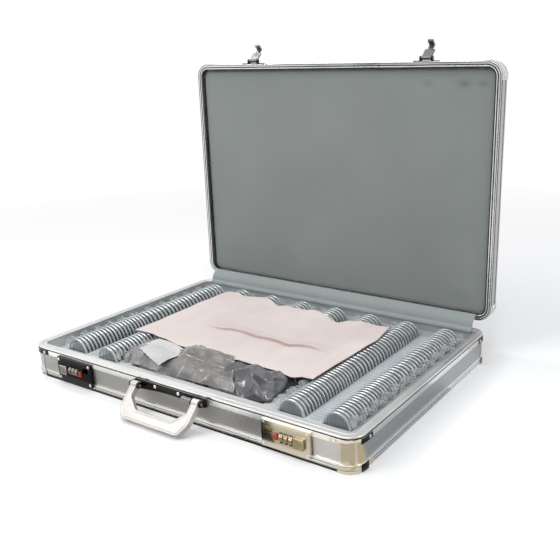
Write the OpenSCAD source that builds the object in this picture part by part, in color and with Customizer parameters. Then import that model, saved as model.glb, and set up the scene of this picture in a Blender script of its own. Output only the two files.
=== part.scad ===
// Trial lens set in an aluminium carrying case, lid open.
// Millimetres. Origin at the middle of the case bottom, +X right, +Y to the back, +Z up.

/* [Case] */
// Width of the case, left to right
case_w = 530; // [515:1:560]
// Depth of the case, front to back
case_d = 357; // [350:1:380]
// Height of the base from the bottom to its rim
base_h = 43.5; // [42:0.5:50]
// Height of the lid
lid_h = 22; // [20:0.5:30]
// Outer radius of the upright corners
corner_r = 20; // [16:0.5:26]
// Wall of the frame extrusions
frame_t = 4; // [3:0.25:5]
// Depth of the lines pressed into the frame extrusions
groove_d = 0.9; // [0.5:0.1:1.5]
// Height of those lines
groove_h = 1.1; // [0.8:0.1:1.5]

/* [Base] */
// Height of the lower frame
lower_h = 10; // [8:0.5:11]
// Height of the upper band of the rim frame
band_h = 10.5; // [9:0.5:12]
// Width of the rim's flat top
rim_w = 11; // [9:0.5:13]
// Thickness of that top
rim_t = 2.5; // [2:0.25:4]
// Thickness of the side panels
panel_t = 2.5; // [1.5:0.1:2.5]
// Set-back of the side panels from the frames
panel_in = 1.5; // [1:0.1:1.5]
// Thickness of the bottom panel
bottom_t = 3.5; // [2.5:0.25:4]

/* [Corner fittings] */
// Thickness of the corner fittings
fit_t = 0.8; // [0.6:0.1:1]
// Reach of the upper corner fittings along each side
tab_reach = 33; // [28:1:40]
// Reach of the lower corner fittings along each side
cap_reach = 24; // [22:1:30]
// Set-back of the curved corner plates from the frames
plate_in = 0.7; // [0.5:0.1:1]
// Radius of the rivet heads
rivet_r = 2.1; // [1.5:0.1:2.4]
// Height of the rivet heads
rivet_h = 0.9; // [0.6:0.1:1.2]

/* [Lid] */
// Gap between the rims when the lid is shut
rim_gap = 0.3; // [0.2:0.1:0.6]
// Angle of the lid from shut to open
lid_open = 91; // [88:1:95]
// Distance of the hinge axis behind the case
hinge_back = 8.5; // [7.5:0.1:10]
// Height of the hinge axis over the base rim
hinge_up = 0.7; // [0.5:0.1:1]
// Width of the lid's mating flange
mate_w = 7; // [6:0.5:8]
// Thickness of the mating flange
mate_t = 3.2; // [2:0.1:3.5]
// Width of the lid's outer flange
skin_flange_w = 9; // [8:0.5:12]
// Thickness of that flange
skin_flange_t = 2; // [1.5:0.1:2.5]
// Thickness of the lid's skin panel
skin_t = 2.5; // [1.5:0.1:3]
// Depth of the pad's face behind the mating plane
pad_in = 5.2; // [5:0.1:6]
// Gap between the pad and the mating flange, seen from the front
pad_gap = 2; // [1.5:0.1:3]
// Height of the pad's crown
pad_crown = 0.8; // [0.4:0.1:1.2]
// Rounding of the pad's edge
pad_round = 2; // [1:0.1:3]

/* [Lens tray] */
// Height of the tray's top over the case bottom
tray_z = 29; // [28:0.25:30]
// Thickness of the moulded tray
tray_t = 1.5; // [1.2:0.1:2]
// Distance of the outer rows from the inside of the rim
side_room = 37; // [35:0.5:40]
// Distance between the two outer rows of a side
row_pitch = 62; // [60:0.5:64]
// Width of the lens racks
rack_w = 42; // [41:0.5:44]
// Length of rack past the end lenses
rack_end = 3.6; // [3:0.1:4]
// Height of the rack ribs between the lenses
rib_z = 16; // [12:0.5:18]
// Distance of the front well from the racks beside it
well_side = 22; // [18:0.5:30]
// Length of the front well
well_d = 47; // [45:1:49]
// Distance of the well from the inside of the rim
well_off = 28.5; // [27:0.5:30]

/* [Lenses] */
// Radius of the lens rims
lens_r = 19; // [18.5:0.1:19]
// Radius of the glass
glass_r = 16.3; // [15.5:0.1:16.5]
// Thickness of the glass
glass_t = 1.6; // [1.2:0.1:2]
// Height of the lens centres over the case bottom
lens_z = 28; // [27.5:0.1:28]
// Thickness of the weak lenses' rims
thin_t = 2.4; // [2:0.1:3]
// Distance between the weak lenses
thin_pitch = 6.15; // [6:0.05:6.3]
// Number of weak lenses in a long row
thin_n = 20; // [16:1:20]
// Thickness of the strong lenses' rims
thick_t = 3.2; // [2.6:0.1:3.6]
// Distance between the strong lenses
thick_pitch = 7.75; // [7.4:0.05:7.8]
// Distance of the front lenses from the front of the case
row_front = 37.5; // [36:0.5:40]
// Least distance of the rear lenses from the back of the case
row_rear = 27; // [26:0.5:30]
// Least distance of the short rows from the front well
short_room = 16; // [14:0.5:18]
// Distance between the lenses of a short row
short_pitch = 7.5; // [7:0.05:7.5]
// Length of the lens grips past the rims
grip_len = 9.5; // [7:0.5:10]
// Width of the lens grips
grip_w = 9; // [7:0.5:9]
// Thickness of the lens grips
grip_t = 1.2; // [0.8:0.1:1.6]
// Mean angle of the grips over the tray
grip_angle = 25; // [24:1:26]
// Spread of that angle from lens to lens
grip_spread = 8; // [0:1:8]
// Clearance of a lens in its slot
slot_gap = 0.3; // [0.2:0.05:0.4]

/* [Locks] */
// Distance of the locks' middle from the side of the case
lock_side = 89.5; // [80:0.5:100]
// Width of a lock's face plate
lock_w = 66; // [65:0.5:70]
// Height of the face plate
lock_h = 32; // [31:0.5:33]
// Thickness of the face plate
lock_t = 3; // [2.5:0.1:3.5]
// Height of the locks' middle over the case bottom
lock_z = 21.5; // [21:0.25:22]
// Width of the housing behind the plate
housing_w = 59; // [58:0.5:60]
// Height of that housing
housing_h = 18; // [16:0.5:18]
// Depth of that housing
housing_d = 8; // [8:0.1:8.5]
// Radius of the number dials
dial_r = 6.2; // [5.5:0.1:6.3]
// Thickness of the dials
dial_t = 4.6; // [4:0.1:4.8]
// Distance between the dials
dial_pitch = 6.5; // [6.2:0.1:6.8]
// Offset of the middle dial from the lock's middle, outwards
dial_off = 1.5; // [1:0.1:2]
// Height of the dial axis under the plate's face
dial_in = 3.5; // [3.2:0.1:4]
// Radius of the dial shaft
shaft_r = 1.4; // [1.2:0.1:1.8]
// Offset of the slide button from the lock's middle, outwards
slide_off = 19.5; // [19.2:0.1:20]
// Width of the slide button
slide_w = 14; // [12:0.5:14]
// Height of the slide button
slide_h = 13; // [11:0.5:14]
// Height of the slide button over the plate
slide_t = 3.3; // [2.5:0.1:4]
// Travel of the slide button
slide_travel = 4.5; // [3:0.25:4.5]
// Offset of the red button from the lock's middle, inwards
push_off = 12.5; // [12.2:0.1:13]
// Width of the red button
push_w = 5; // [4:0.1:5]
// Height of the red button
push_h = 7.5; // [6.5:0.5:9]
// Height of the red button over the plate
push_t = 2.2; // [2:0.1:3]
// Travel of the red button
push_travel = 1.5; // [1:0.1:1.6]
// Offset of the hasp from the lock's middle, inwards
hasp_off = 23; // [22.5:0.1:23.5]
// Running clearance of sliding pieces
run_gap = 0.2; // [0.15:0.05:0.3]
// Running clearance of pins and shafts
pin_gap = 0.05; // [0.03:0.01:0.08]

/* [Hasps] */
// Length of a hasp from its pin to its end
hasp_len = 26; // [25.5:0.25:27]
// Width of a hasp
hasp_w = 15; // [13:0.5:16]
// Thickness of a hasp
hasp_t = 2; // [1.6:0.1:2.2]
// Angle of a hasp from latched to folded back
hasp_open = 135; // [125:1:155]
// Radius of the hasp pins
hasp_pin_r = 1.5; // [1.2:0.1:1.6]
// Height of the pin over the lid's rim
hasp_pin_z = 9; // [8.5:0.25:9.5]
// Distance of the pin in front of the case
hasp_pin_out = 5.2; // [5.2:0.1:5.8]
// Width of the hasp's base plate
hasp_plate_w = 34; // [30:1:38]
// Height of that plate
hasp_plate_h = 14; // [12:0.5:15]
// Thickness of that plate
hasp_plate_t = 1.5; // [1.2:0.1:1.6]
// Width of the hook
hook_w = 8; // [6:0.5:9]
// Reach of the hook into the lock
hook_reach = 5; // [4:0.5:5.5]
// Thickness of the hook
hook_t = 3; // [2:0.25:3.5]

/* [Handle] */
// Distance between the outsides of the handle's arms
handle_w = 112; // [100:1:130]
// Width of an arm
arm_w = 10; // [8:0.5:12]
// Length from the pivot to the outer edge of the grip
handle_len = 44; // [42:0.5:54]
// Width of the grip
bar_w = 15; // [13:0.5:20]
// Thickness of the handle
handle_t = 8; // [6:0.5:9]
// Gap left between the resting handle and the floor
floor_gap = 0.3; // [0.2:0.1:1]
// Height of the handle's pivot over the case bottom
handle_z = 35; // [34.5:0.25:36]
// Distance of the pivot in front of the case
handle_out = 7.5; // [7.5:0.1:9]
// Radius of the handle's eyes
eye_r = 5; // [4.2:0.1:5.2]
// Radius of the handle's pins
handle_pin_r = 2; // [1.5:0.1:2.2]
// Thickness of the bracket's plate
bracket_t = 2; // [1.5:0.1:2.2]
// Height of the bracket's plate under the upper band
bracket_h = 5; // [4:0.5:9]
// Rise of the arch in the plate's lower edge
bracket_arch = 3; // [1:0.25:3.5]
// Height of the bracket's lip over the upper band
bracket_lip = 6; // [4:0.25:6.5]
// Thickness of the bracket's ears
ear_t = 2.6; // [2:0.1:3]

/* [Hinges] */
// Distance of the hinges' middle from the side of the case
hinge_side = 95; // [75:1:115]
// Length of a hinge
hinge_len = 60; // [50:1:70]
// Radius of the knuckles
knuckle_r = 3.4; // [3:0.1:3.6]
// Radius of the hinge pins
hinge_pin_r = 1.5; // [1.2:0.1:1.8]
// Thickness of the hinge leaves
leaf_t = 1.5; // [1.2:0.1:2]
// Height of a leaf on the case wall
leaf_h = 13; // [10:0.5:14]
// Gap between neighbouring knuckles
knuckle_gap = 0.3; // [0.2:0.05:0.5]

/* [Soft contents] */
// Thickness of the lining between tray and lid
gusset_t = 0.8; // [0.6:0.1:1.2]
// Distance of the lining from the side walls
gusset_side = 8; // [6:0.5:12]
// Overlap of the lining on the lid's flange
gusset_lap = 2; // [1.8:0.1:3]
// Overlap of the lining on the tray's rear wall
gusset_drop = 1.5; // [1:0.1:8]
// Length of the packing sheet, left to right
sheet_w = 320; // [280:1:330]
// Width of the packing sheet, front to back
sheet_d = 196; // [170:1:200]
// Offset of the sheet to the left
sheet_left = 12; // [0:1:16]
// Offset of the sheet to the back
sheet_back = 13; // [8:1:16]
// Thickness of the sheet
sheet_t = 1.2; // [0.8:0.1:1.2]
// Clearance under and around soft pieces
soft_gap = 0.3; // [0.25:0.05:0.4]
// Space between the film bag and the dark pouch
bag_gap = 6.8; // [2:0.1:12]
// Height of the film bag
bag_h = 38; // [30:0.5:39]
// Width of the dark pouch
pouch_w = 92; // [80:1:94]
// Height of the dark pouch
pouch_h = 40; // [32:0.5:41]
// Width of the folded leaflet
leaflet_w = 72; // [60:1:76]
// Depth of the folded leaflet
leaflet_d = 46; // [36:1:48]
// Thickness of the folded leaflet
leaflet_t = 1; // [0.6:0.1:1.2]
// Width of the label strips
label_w = 13; // [10:0.5:14]
// Thickness of the label strips
label_t = 0.4; // [0.3:0.1:0.6]

/* [Hidden] */
$fn = 48;
eps = 0.5;
LEFT = -1;
RIGHT = 1;

// Case levels and faces
front_y = -case_d / 2;
rear_y = case_d / 2;
band_z = base_h - band_h;
flange_z = base_h - rim_t;
lid_z = base_h + rim_gap;
lid_top = lid_z + lid_h - rim_gap;
skin_top = lid_top - skin_flange_t;
pad_face_z = lid_z + pad_in;
pad_u = mate_w + pad_gap;
hinge_y = rear_y + hinge_back;
hinge_z = base_h + hinge_up;
panel_face = front_y + panel_in;

// Lens rows
first_y = front_y + row_front;
thick_n = floor((case_d - row_front - row_rear - (thin_n - 1) * thin_pitch) / thick_pitch);
long_n = thin_n + thick_n;
last_y = long_y(long_n - 1);
slot_r = lens_r + slot_gap;
rack_top = tray_z - tray_t;
rim_bore = glass_r + 0.1;
rim_bevel = 0.5;
OUTER = case_w / 2 - rim_w - side_room;
INNER = OUTER - row_pitch;
centre_pitch = 2 * INNER / 5;
CENTRE = [-1.5 * centre_pitch, -0.5 * centre_pitch, 0.5 * centre_pitch, 1.5 * centre_pitch];

// Front well and the short rows behind it
well_w = 2 * (INNER - rack_w / 2 - well_side);
well_y0 = front_y + rim_w + well_off;
well_y1 = well_y0 + well_d;
well_floor = bottom_t + tray_t;
short_n = 1 + floor((last_y - well_y1 - tray_t - short_room) / short_pitch);
bag_w = well_w - pouch_w - bag_gap - 4 * soft_gap;

// Locks
lock_x = case_w / 2 - lock_side;
plate_y = front_y - lock_t;
dial_y = plate_y + dial_in;
hasp_pin_y = front_y - hasp_pin_out;
hook_z = lid_z + hasp_pin_z - hasp_len + hook_t / 2;

// Hinges and handle
hinge_x = case_w / 2 - hinge_side;
pivot_y = front_y - handle_out;
arm_x = handle_w / 2 - arm_w / 2;
arm_play = 0.3;
handle_edge = sqrt(handle_len * handle_len + handle_t * handle_t / 4);
handle_droop = asin((handle_z - floor_gap) / handle_edge) - atan(handle_t / 2 / handle_len);

function long_y(i) = first_y + min(i, thin_n - 1) * thin_pitch + max(0, i - thin_n + 1) * thick_pitch;
function short_y(i) = last_y - i * short_pitch;
function long_t(i) = i < thin_n ? thin_t : thick_t;
function long_places() = [for (i = [0:long_n - 1]) [long_y(i), long_t(i), i]];
function short_places() = [for (i = [0:short_n - 1]) [short_y(i), thick_t, i]];
function grip_tilt(i) = grip_angle + grip_spread * sin(i * 97);
function dial_x(step) = lock_x + dial_off + step * dial_pitch;

// General shapes

// Rounded rectangle centred on the origin
module plan(w, d, r) {
  square([w - 2 * r, d], center = true);
  square([w, d - 2 * r], center = true);
  for (x = [-1, 1], y = [-1, 1])
    translate([x * (w / 2 - r), y * (d / 2 - r)]) circle(r);
}

// Layer of the case's plan, set in by u from the outside
module layer(u, z0, z1) {
  translate([0, 0, z0])
    linear_extrude(z1 - z0) plan(case_w - 2 * u, case_d - 2 * u, max(corner_r - u, 4));
}

// Band around the case between two set-ins
module band(u0, u1, z0, z1) {
  difference() {
    layer(u0, z0, z1);
    layer(u1, z0 - eps, z1 + eps);
  }
}

// Line pressed into the outside of a frame
module pressed_line(z) {
  band(-1, groove_d, z - groove_h / 2, z + groove_h / 2);
}

// Block from corner to corner
module block(x0, x1, y0, y1, z0, z1) {
  translate([min(x0, x1), y0, z0]) cube([abs(x1 - x0), y1 - y0, z1 - z0]);
}

// Round bar along X
module bar_x(x0, x1, y, z, r) {
  translate([min(x0, x1), y, z]) rotate([0, 90, 0]) cylinder(r = r, h = abs(x1 - x0));
}

// Four corner regions that reach along the sides
module corner_regions(reach, z0, z1) {
  past = 3;
  for (x = [-1, 1], y = [-1, 1])
    translate([x * (case_w + past - reach) / 2, y * (case_d + past - reach) / 2, (z0 + z1) / 2])
      cube([reach + past, reach + past, z1 - z0 + past], center = true);
}

// Rivet head on a face that looks along -Y, seated at y
module rivet_front(x, y, z) {
  translate([x, y, z]) rotate([90, 0, 0]) {
    cylinder(r = rivet_r, h = rivet_h / 2);
    cylinder(r = rivet_r * 0.7, h = rivet_h);
  }
}

// Lid pieces are drawn shut and swung open about the hinge
module lid_at_rest() {
  translate([0, hinge_y, hinge_z]) rotate([-lid_open, 0, 0]) translate([0, -hinge_y, -hinge_z]) children();
}

// Base

module base_bottom_panel() {
  color("silver") layer(frame_t + run_gap, 0, bottom_t);
}

module base_lower_frame() {
  color("gainsboro") difference() {
    band(0, frame_t, 0, lower_h);
    pressed_line(lower_h * 0.3);
    pressed_line(lower_h * 0.65);
  }
}

// Straight panel between two corners, drawn along the front
module front_like_panel(width, offset) {
  half = width / 2 - corner_r;
  block(-half, half, panel_in - offset, panel_in - offset + panel_t, lower_h, band_z);
}

module base_front_panel() {
  color("darkgray") difference() {
    front_like_panel(case_w, case_d / 2);
    for (s = [LEFT, RIGHT])
      translate([s * lock_x, front_y + frame_t, lock_z])
        cube([housing_w + 2 * run_gap, 4 * frame_t, housing_h + 2 * run_gap], center = true);
  }
}

module base_rear_panel() {
  color("darkgray") rotate(180) front_like_panel(case_w, case_d / 2);
}

module base_left_panel() {
  color("darkgray") rotate(-90) front_like_panel(case_d, case_w / 2);
}

module base_right_panel() {
  color("darkgray") rotate(90) front_like_panel(case_d, case_w / 2);
}

module base_rim_frame() {
  color("gainsboro") difference() {
    layer(0, band_z, base_h);
    layer(frame_t, band_z - eps, flange_z);
    layer(rim_w, band_z - eps, base_h + eps);
    pressed_line(flange_z - groove_h / 2);
    band(rim_w * 0.5, rim_w * 0.5 + groove_h, base_h - groove_d, base_h + eps);
  }
}

module base_corner_plates() {
  color("tan") intersection() {
    band(plate_in, frame_t, lower_h, band_z);
    corner_regions(corner_r, lower_h, band_z);
  }
}

module base_upper_corner_fittings() {
  color("tan") intersection() {
    band(-fit_t, 0, band_z, flange_z - groove_h);
    corner_regions(tab_reach, band_z, flange_z);
  }
}

module base_lower_corner_fittings() {
  color("tan") intersection() {
    band(-fit_t, 0, fit_t / 2, lower_h);
    corner_regions(cap_reach, 0, lower_h);
  }
}

module base_corner_rivets() {
  fit_mid = (band_z + flange_z - groove_h) / 2;
  inset = tab_reach - 3 * rivet_r;
  color("silver") for (turn = [0, 180], s = [LEFT, RIGHT]) rotate(turn) {
    rivet_front(s * (case_w / 2 - inset), front_y - fit_t, fit_mid);
    rotate(90) rivet_front(s * (case_d / 2 - inset), -case_w / 2 - fit_t, fit_mid);
  }
}

// Tray and racks

module lens_tray() {
  color("lightgray") difference() {
    union() {
      layer(rim_w - tray_t, rack_top, tray_z);
      band(rim_w - tray_t, rim_w, bottom_t, flange_z);
      block(-well_w / 2 - tray_t, well_w / 2 + tray_t,
            well_y0 - tray_t, well_y1 + tray_t, bottom_t, tray_z);
    }
    block(-well_w / 2, well_w / 2, well_y0, well_y1, well_floor, tray_z + eps);
    for (x = [-OUTER, -INNER, INNER, OUTER]) row_hole(x, first_y, last_y);
    for (x = CENTRE) row_hole(x, short_y(short_n - 1), last_y);
  }
}

// Opening of the tray over one row
module row_hole(x, y0, y1) {
  block(x - slot_r, x + slot_r, y0 - rack_end + tray_t, y1 + rack_end - tray_t, rack_top - eps, tray_z + eps);
}

// Rack under one row: a channel over ribs, with one slot for each lens
module rack(x, places) {
  low = min([for (p = places) p[0]]) - rack_end;
  high = max([for (p = places) p[0]]) + rack_end;
  color("lightgray") difference() {
    block(x - rack_w / 2, x + rack_w / 2, low, high, bottom_t, rack_top);
    intersection() {
      disc(x, low + tray_t, high - tray_t, slot_r);
      block(x - rack_w, x + rack_w, low, high, rib_z, rack_top + eps);
    }
    for (p = places) disc(x, p[0] - p[1] / 2 - run_gap, p[0] + p[1] / 2 + run_gap, slot_r);
  }
}

// Round disc along Y at lens height
module disc(x, y0, y1, r) {
  translate([x, y1, lens_z]) rotate([90, 0, 0]) cylinder(r = r, h = y1 - y0);
}

module outer_left_rack() { rack(-OUTER, long_places()); }
module inner_left_rack() { rack(-INNER, long_places()); }
module inner_right_rack() { rack(INNER, long_places()); }
module outer_right_rack() { rack(OUTER, long_places()); }
module centre_racks() { for (x = CENTRE) rack(x, short_places()); }

module label_strips() {
  color("whitesmoke") for (s = [LEFT, RIGHT])
    translate([s * (OUTER + INNER) / 2 - label_w / 2, first_y, tray_z])
      cube([label_w, last_y - first_y, label_t]);
}

// One lens rim with its grip; side is -1 for a grip on the left and 1 on the right
module lens_rim(t, side, tilt) {
  rotate([90, 0, 0]) {
    rotate_extrude() polygon([
      [rim_bore, -t / 2], [lens_r - rim_bevel, -t / 2], [lens_r, -t / 2 + rim_bevel],
      [lens_r, t / 2 - rim_bevel], [lens_r - rim_bevel, t / 2], [rim_bore, t / 2]]);
    rotate(side > 0 ? tilt : 180 - tilt) translate([0, 0, -grip_t / 2]) linear_extrude(grip_t) {
      translate([lens_r - 1, -grip_w / 2]) square([grip_len + 1 - grip_w / 2, grip_w]);
      translate([lens_r + grip_len - grip_w / 2, 0]) circle(grip_w / 2);
    }
  }
}

module rim_row(x, places, side) {
  color("silver") for (p = places) translate([x, p[0], lens_z]) lens_rim(p[1], side, grip_tilt(p[2]));
}

module glass_row(x, places) {
  color("lightblue", 0.4) for (p = places) disc(x, p[0] - glass_t / 2, p[0] + glass_t / 2, glass_r);
}

module outer_left_rims() { rim_row(-OUTER, long_places(), LEFT); }
module inner_left_rims() { rim_row(-INNER, long_places(), RIGHT); }
module inner_right_rims() { rim_row(INNER, long_places(), LEFT); }
module outer_right_rims() { rim_row(OUTER, long_places(), RIGHT); }
module centre_1_rims() { rim_row(CENTRE[0], short_places(), RIGHT); }
module centre_2_rims() { rim_row(CENTRE[1], short_places(), RIGHT); }
module centre_3_rims() { rim_row(CENTRE[2], short_places(), LEFT); }
module centre_4_rims() { rim_row(CENTRE[3], short_places(), LEFT); }

module lens_glass() {
  for (x = [-OUTER, -INNER, INNER, OUTER]) glass_row(x, long_places());
  for (x = CENTRE) glass_row(x, short_places());
}

// Soft contents

module packing_sheet() {
  color("mistyrose") translate([-sheet_left, sheet_back, lens_z + lens_r + soft_gap])
    linear_extrude(sheet_t) plan(sheet_w, sheet_d, 8);
}

// Soft block in the well, from the left edge x0
module well_filler(x0, w, h) {
  translate([x0 + w / 2, well_y0 + well_d / 2, well_floor + soft_gap])
    linear_extrude(h) plan(w, well_d - 4 * soft_gap, 9);
}

module film_bag() {
  color("gainsboro", 0.5) well_filler(-well_w / 2 + 2 * soft_gap, bag_w, bag_h);
}

module dark_pouch() {
  color("dimgray") well_filler(well_w / 2 - 2 * soft_gap - pouch_w, pouch_w, pouch_h);
}

// Leaflet on the film bag, turned a little, beside the grips of the row on its left
module leaflet() {
  turn = 12;
  half = (leaflet_w * cos(turn) + leaflet_d * sin(turn)) / 2;
  beside_grips = INNER - lens_r - grip_len - half - 2;
  color("whitesmoke")
    translate([-beside_grips, well_y1 - leaflet_d / 2, well_floor + bag_h + 2 * soft_gap])
      rotate(-turn) linear_extrude(leaflet_t) square([leaflet_w, leaflet_d], center = true);
}

// Lining that rounds over the hinge side, from the lid's flange to the top of the tray's rear wall
module gusset() {
  outer = hinge_back + mate_w + gusset_lap;
  inner = outer - gusset_t;
  axis = [hinge_y, hinge_z];
  angles = [for (i = [0:10]) 92 + 8.6 * i];
  rim_y = rear_y - rim_w - 2 * soft_gap;
  foot_z = flange_z - gusset_drop;
  under = [for (a = angles) axis + inner * [cos(a), sin(a)]];
  over = [for (i = [len(angles) - 1:-1:0]) axis + outer * [cos(angles[i]), sin(angles[i])]];
  hem = [[rim_y, base_h + soft_gap], [rim_y, foot_z],
         [rim_y - gusset_t, foot_z], [rim_y - gusset_t, base_h + soft_gap + gusset_t]];
  half = case_w / 2 - rim_w - gusset_side;
  color("lightgray") translate([-half, 0, 0]) rotate([90, 0, 90])
    linear_extrude(2 * half) polygon(concat(under, hem, over));
}

// Locks

// Lock on one side
module lock_body(s) {
  x = s * lock_x;
  color("silver") difference() {
    union() {
      block(x - lock_w / 2, x + lock_w / 2, plate_y, front_y, lock_z - lock_h / 2, lock_z + lock_h / 2);
      block(x - housing_w / 2, x + housing_w / 2, front_y, front_y + housing_d,
            lock_z - housing_h / 2, lock_z + housing_h / 2);
    }
    for (step = [-1:1]) dial_pocket(s, step);
    dial_shaft(s);
    slide_pocket(s);
    push_pocket(s);
    hasp_pocket(s);
  }
}

module left_lock_body() { lock_body(LEFT); }
module right_lock_body() { lock_body(RIGHT); }

module dial_pocket(s, step) {
  half = dial_t / 2 + run_gap;
  block(s * dial_x(step) - half, s * dial_x(step) + half, plate_y - eps, dial_y + dial_r + 0.4,
        lock_z - dial_r - 0.4, lock_z + dial_r + 0.4);
}

// Shaft through the three dials, seated in the lock at both ends
module dial_shaft(s) {
  seat = dial_pitch / 2 + 0.6;
  bar_x(s * (dial_x(-1) - seat), s * (dial_x(1) + seat), dial_y, lock_z, shaft_r);
}

module dial_shafts() {
  color("gray") for (s = [LEFT, RIGHT]) dial_shaft(s);
}

// Ten-sided number dial on its shaft
module dial(s, step) {
  x = s * dial_x(step);
  color("dimgray") difference() {
    translate([x - dial_t / 2, dial_y, lock_z]) rotate([0, 90, 0]) cylinder(r = dial_r, h = dial_t, $fn = 10);
    bar_x(x - dial_t, x + dial_t, dial_y, lock_z, shaft_r + pin_gap);
  }
}

module left_dial_outer() { dial(LEFT, 1); }
module left_dial_middle() { dial(LEFT, 0); }
module left_dial_inner() { dial(LEFT, -1); }
module right_dial_inner() { dial(RIGHT, -1); }
module right_dial_middle() { dial(RIGHT, 0); }
module right_dial_outer() { dial(RIGHT, 1); }

stem = 5;
foot_half = 4;
foot_y0 = front_y + 0.5;
foot_t = 1.5;

// Room for the slide button's stem and for the foot that keeps it in
module slide_pocket(s) {
  x = s * (lock_x + slide_off);
  far = slide_travel + run_gap;
  near = run_gap;
  h = stem / 2;
  f = foot_half;
  block(x - s * (h + near), x + s * (h + far), plate_y - eps, foot_y0, lock_z - h - near, lock_z + h + near);
  block(x - s * (f + near), x + s * (f + far), foot_y0 - near, foot_y0 + foot_t + near,
        lock_z - f - near, lock_z + f + near);
}

module slide_button(s) {
  x = s * (lock_x + slide_off);
  color("silver") {
    block(x - slide_w / 2, x + slide_w / 2, plate_y - run_gap - slide_t, plate_y - run_gap,
          lock_z - slide_h / 2, lock_z + slide_h / 2);
    block(x - stem / 2, x + stem / 2, plate_y - run_gap - eps, foot_y0 + eps,
          lock_z - stem / 2, lock_z + stem / 2);
    block(x - foot_half, x + foot_half, foot_y0, foot_y0 + foot_t, lock_z - foot_half, lock_z + foot_half);
  }
}

module left_slide_button() { slide_button(LEFT); }
module right_slide_button() { slide_button(RIGHT); }

push_lip = 0.7;

// Room for the red button and for the lip that keeps it in
module push_pocket(s) {
  x = s * (lock_x - push_off);
  w = push_w / 2 + run_gap;
  h = push_h / 2 + run_gap;
  block(x - w, x + w, plate_y - eps, foot_y0, lock_z - h, lock_z + h);
  block(x - w - push_lip, x + w + push_lip, foot_y0 - run_gap, foot_y0 + foot_t + push_travel + run_gap,
        lock_z - h - push_lip, lock_z + h + push_lip);
}

module push_button(s) {
  x = s * (lock_x - push_off);
  w = push_w / 2;
  h = push_h / 2;
  color("firebrick") {
    block(x - w, x + w, plate_y - push_t, foot_y0 + eps, lock_z - h, lock_z + h);
    block(x - w - push_lip, x + w + push_lip, foot_y0, foot_y0 + foot_t,
          lock_z - h - push_lip, lock_z + h + push_lip);
  }
}

module left_push_button() { push_button(LEFT); }
module right_push_button() { push_button(RIGHT); }

// Room for the hasp's hook, with play below for its swing
module hasp_pocket(s) {
  x = s * (lock_x - hasp_off);
  play = 2.5;
  block(x - hook_w / 2 - 1, x + hook_w / 2 + 1, plate_y - eps, front_y + hook_reach,
        hook_z - hook_t / 2 - play, hook_z + hook_t / 2 + play / 2);
}

module lock_rivets() {
  edge = rivet_r + 1;
  color("silver") for (s = [LEFT, RIGHT], x = [-1, 1], z = [-1, 1])
    rivet_front(s * lock_x + x * (lock_w / 2 - edge), plate_y, lock_z + z * (lock_h / 2 - edge));
}

// Handle

ear_x0 = handle_w / 2 - arm_w - arm_play - ear_t;
ear_x1 = handle_w / 2 + arm_play;

module handle_bracket() {
  arch_r = (ear_x0 * ear_x0 + bracket_arch * bracket_arch) / (2 * bracket_arch);
  color("dimgray") difference() {
    union() {
      difference() {
        block(-ear_x1 - ear_t, ear_x1 + ear_t, front_y - bracket_t, panel_face, band_z - bracket_h, band_z);
        translate([0, panel_face + eps, band_z - bracket_h + bracket_arch - arch_r]) rotate([90, 0, 0])
          cylinder(r = arch_r, h = bracket_t + panel_in + 2 * eps, $fn = 360);
      }
      block(-ear_x1 - ear_t, ear_x1 + ear_t, front_y - bracket_t, front_y, band_z, band_z + bracket_lip);
      for (s = [LEFT, RIGHT], x = [ear_x0, ear_x1]) {
        bar_x(s * x, s * (x + ear_t), pivot_y, handle_z, eye_r - 1);
        block(s * x, s * (x + ear_t), pivot_y, front_y, handle_z - eye_r + 1, band_z + bracket_lip);
      }
    }
    for (s = [LEFT, RIGHT]) handle_pin(s, eps);
  }
}

// Pin across one arm, seated in the ears on both sides of it
module handle_pin(s, past) {
  bar_x(s * (ear_x0 - past), s * (ear_x1 + ear_t + past), pivot_y, handle_z, handle_pin_r);
}

module handle_pins() {
  color("silver") for (s = [LEFT, RIGHT]) handle_pin(s, 0);
}

// Handle drawn flat with its pivot at the origin, arms along +Y
module handle_flat() {
  out = handle_w / 2;
  in = out - arm_w;
  grip_y = handle_len - bar_w;
  knee = bar_w * 1.1;
  foot = out - knee * 0.6;
  inner_knee = bar_w * 0.9;
  inner_foot = in - inner_knee * 1.2;
  difference() {
    union() {
      translate([0, 0, -handle_t / 2]) linear_extrude(handle_t) difference() {
        polygon([[-out, 0], [out, 0], [out, handle_len - knee], [foot, handle_len],
                 [-foot, handle_len], [-out, handle_len - knee]]);
        polygon([[-in, -1], [in, -1], [in, grip_y - inner_knee], [inner_foot, grip_y],
                 [-inner_foot, grip_y], [-in, grip_y - inner_knee]]);
      }
      for (s = [LEFT, RIGHT]) bar_x(s * in, s * out, 0, 0, eye_r);
    }
    bar_x(-out - eps, out + eps, 0, 0, handle_pin_r + pin_gap);
  }
}

module handle() {
  color("ivory") translate([0, pivot_y, handle_z]) rotate([180 + handle_droop, 0, 0]) handle_flat();
}

// Hinges

knuckle_len = hinge_len / 3;

// Knuckle and the arm that ties it to a leaf on the rear wall
module knuckle(x0, x1, arm_z0, arm_z1) {
  bar_x(x0, x1, hinge_y, hinge_z, knuckle_r);
  block(x0, x1, rear_y, hinge_y, arm_z0, arm_z1);
}

module knuckle_bore(x) {
  bar_x(x - hinge_len, x + hinge_len, hinge_y, hinge_z, hinge_pin_r + pin_gap);
}

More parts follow.
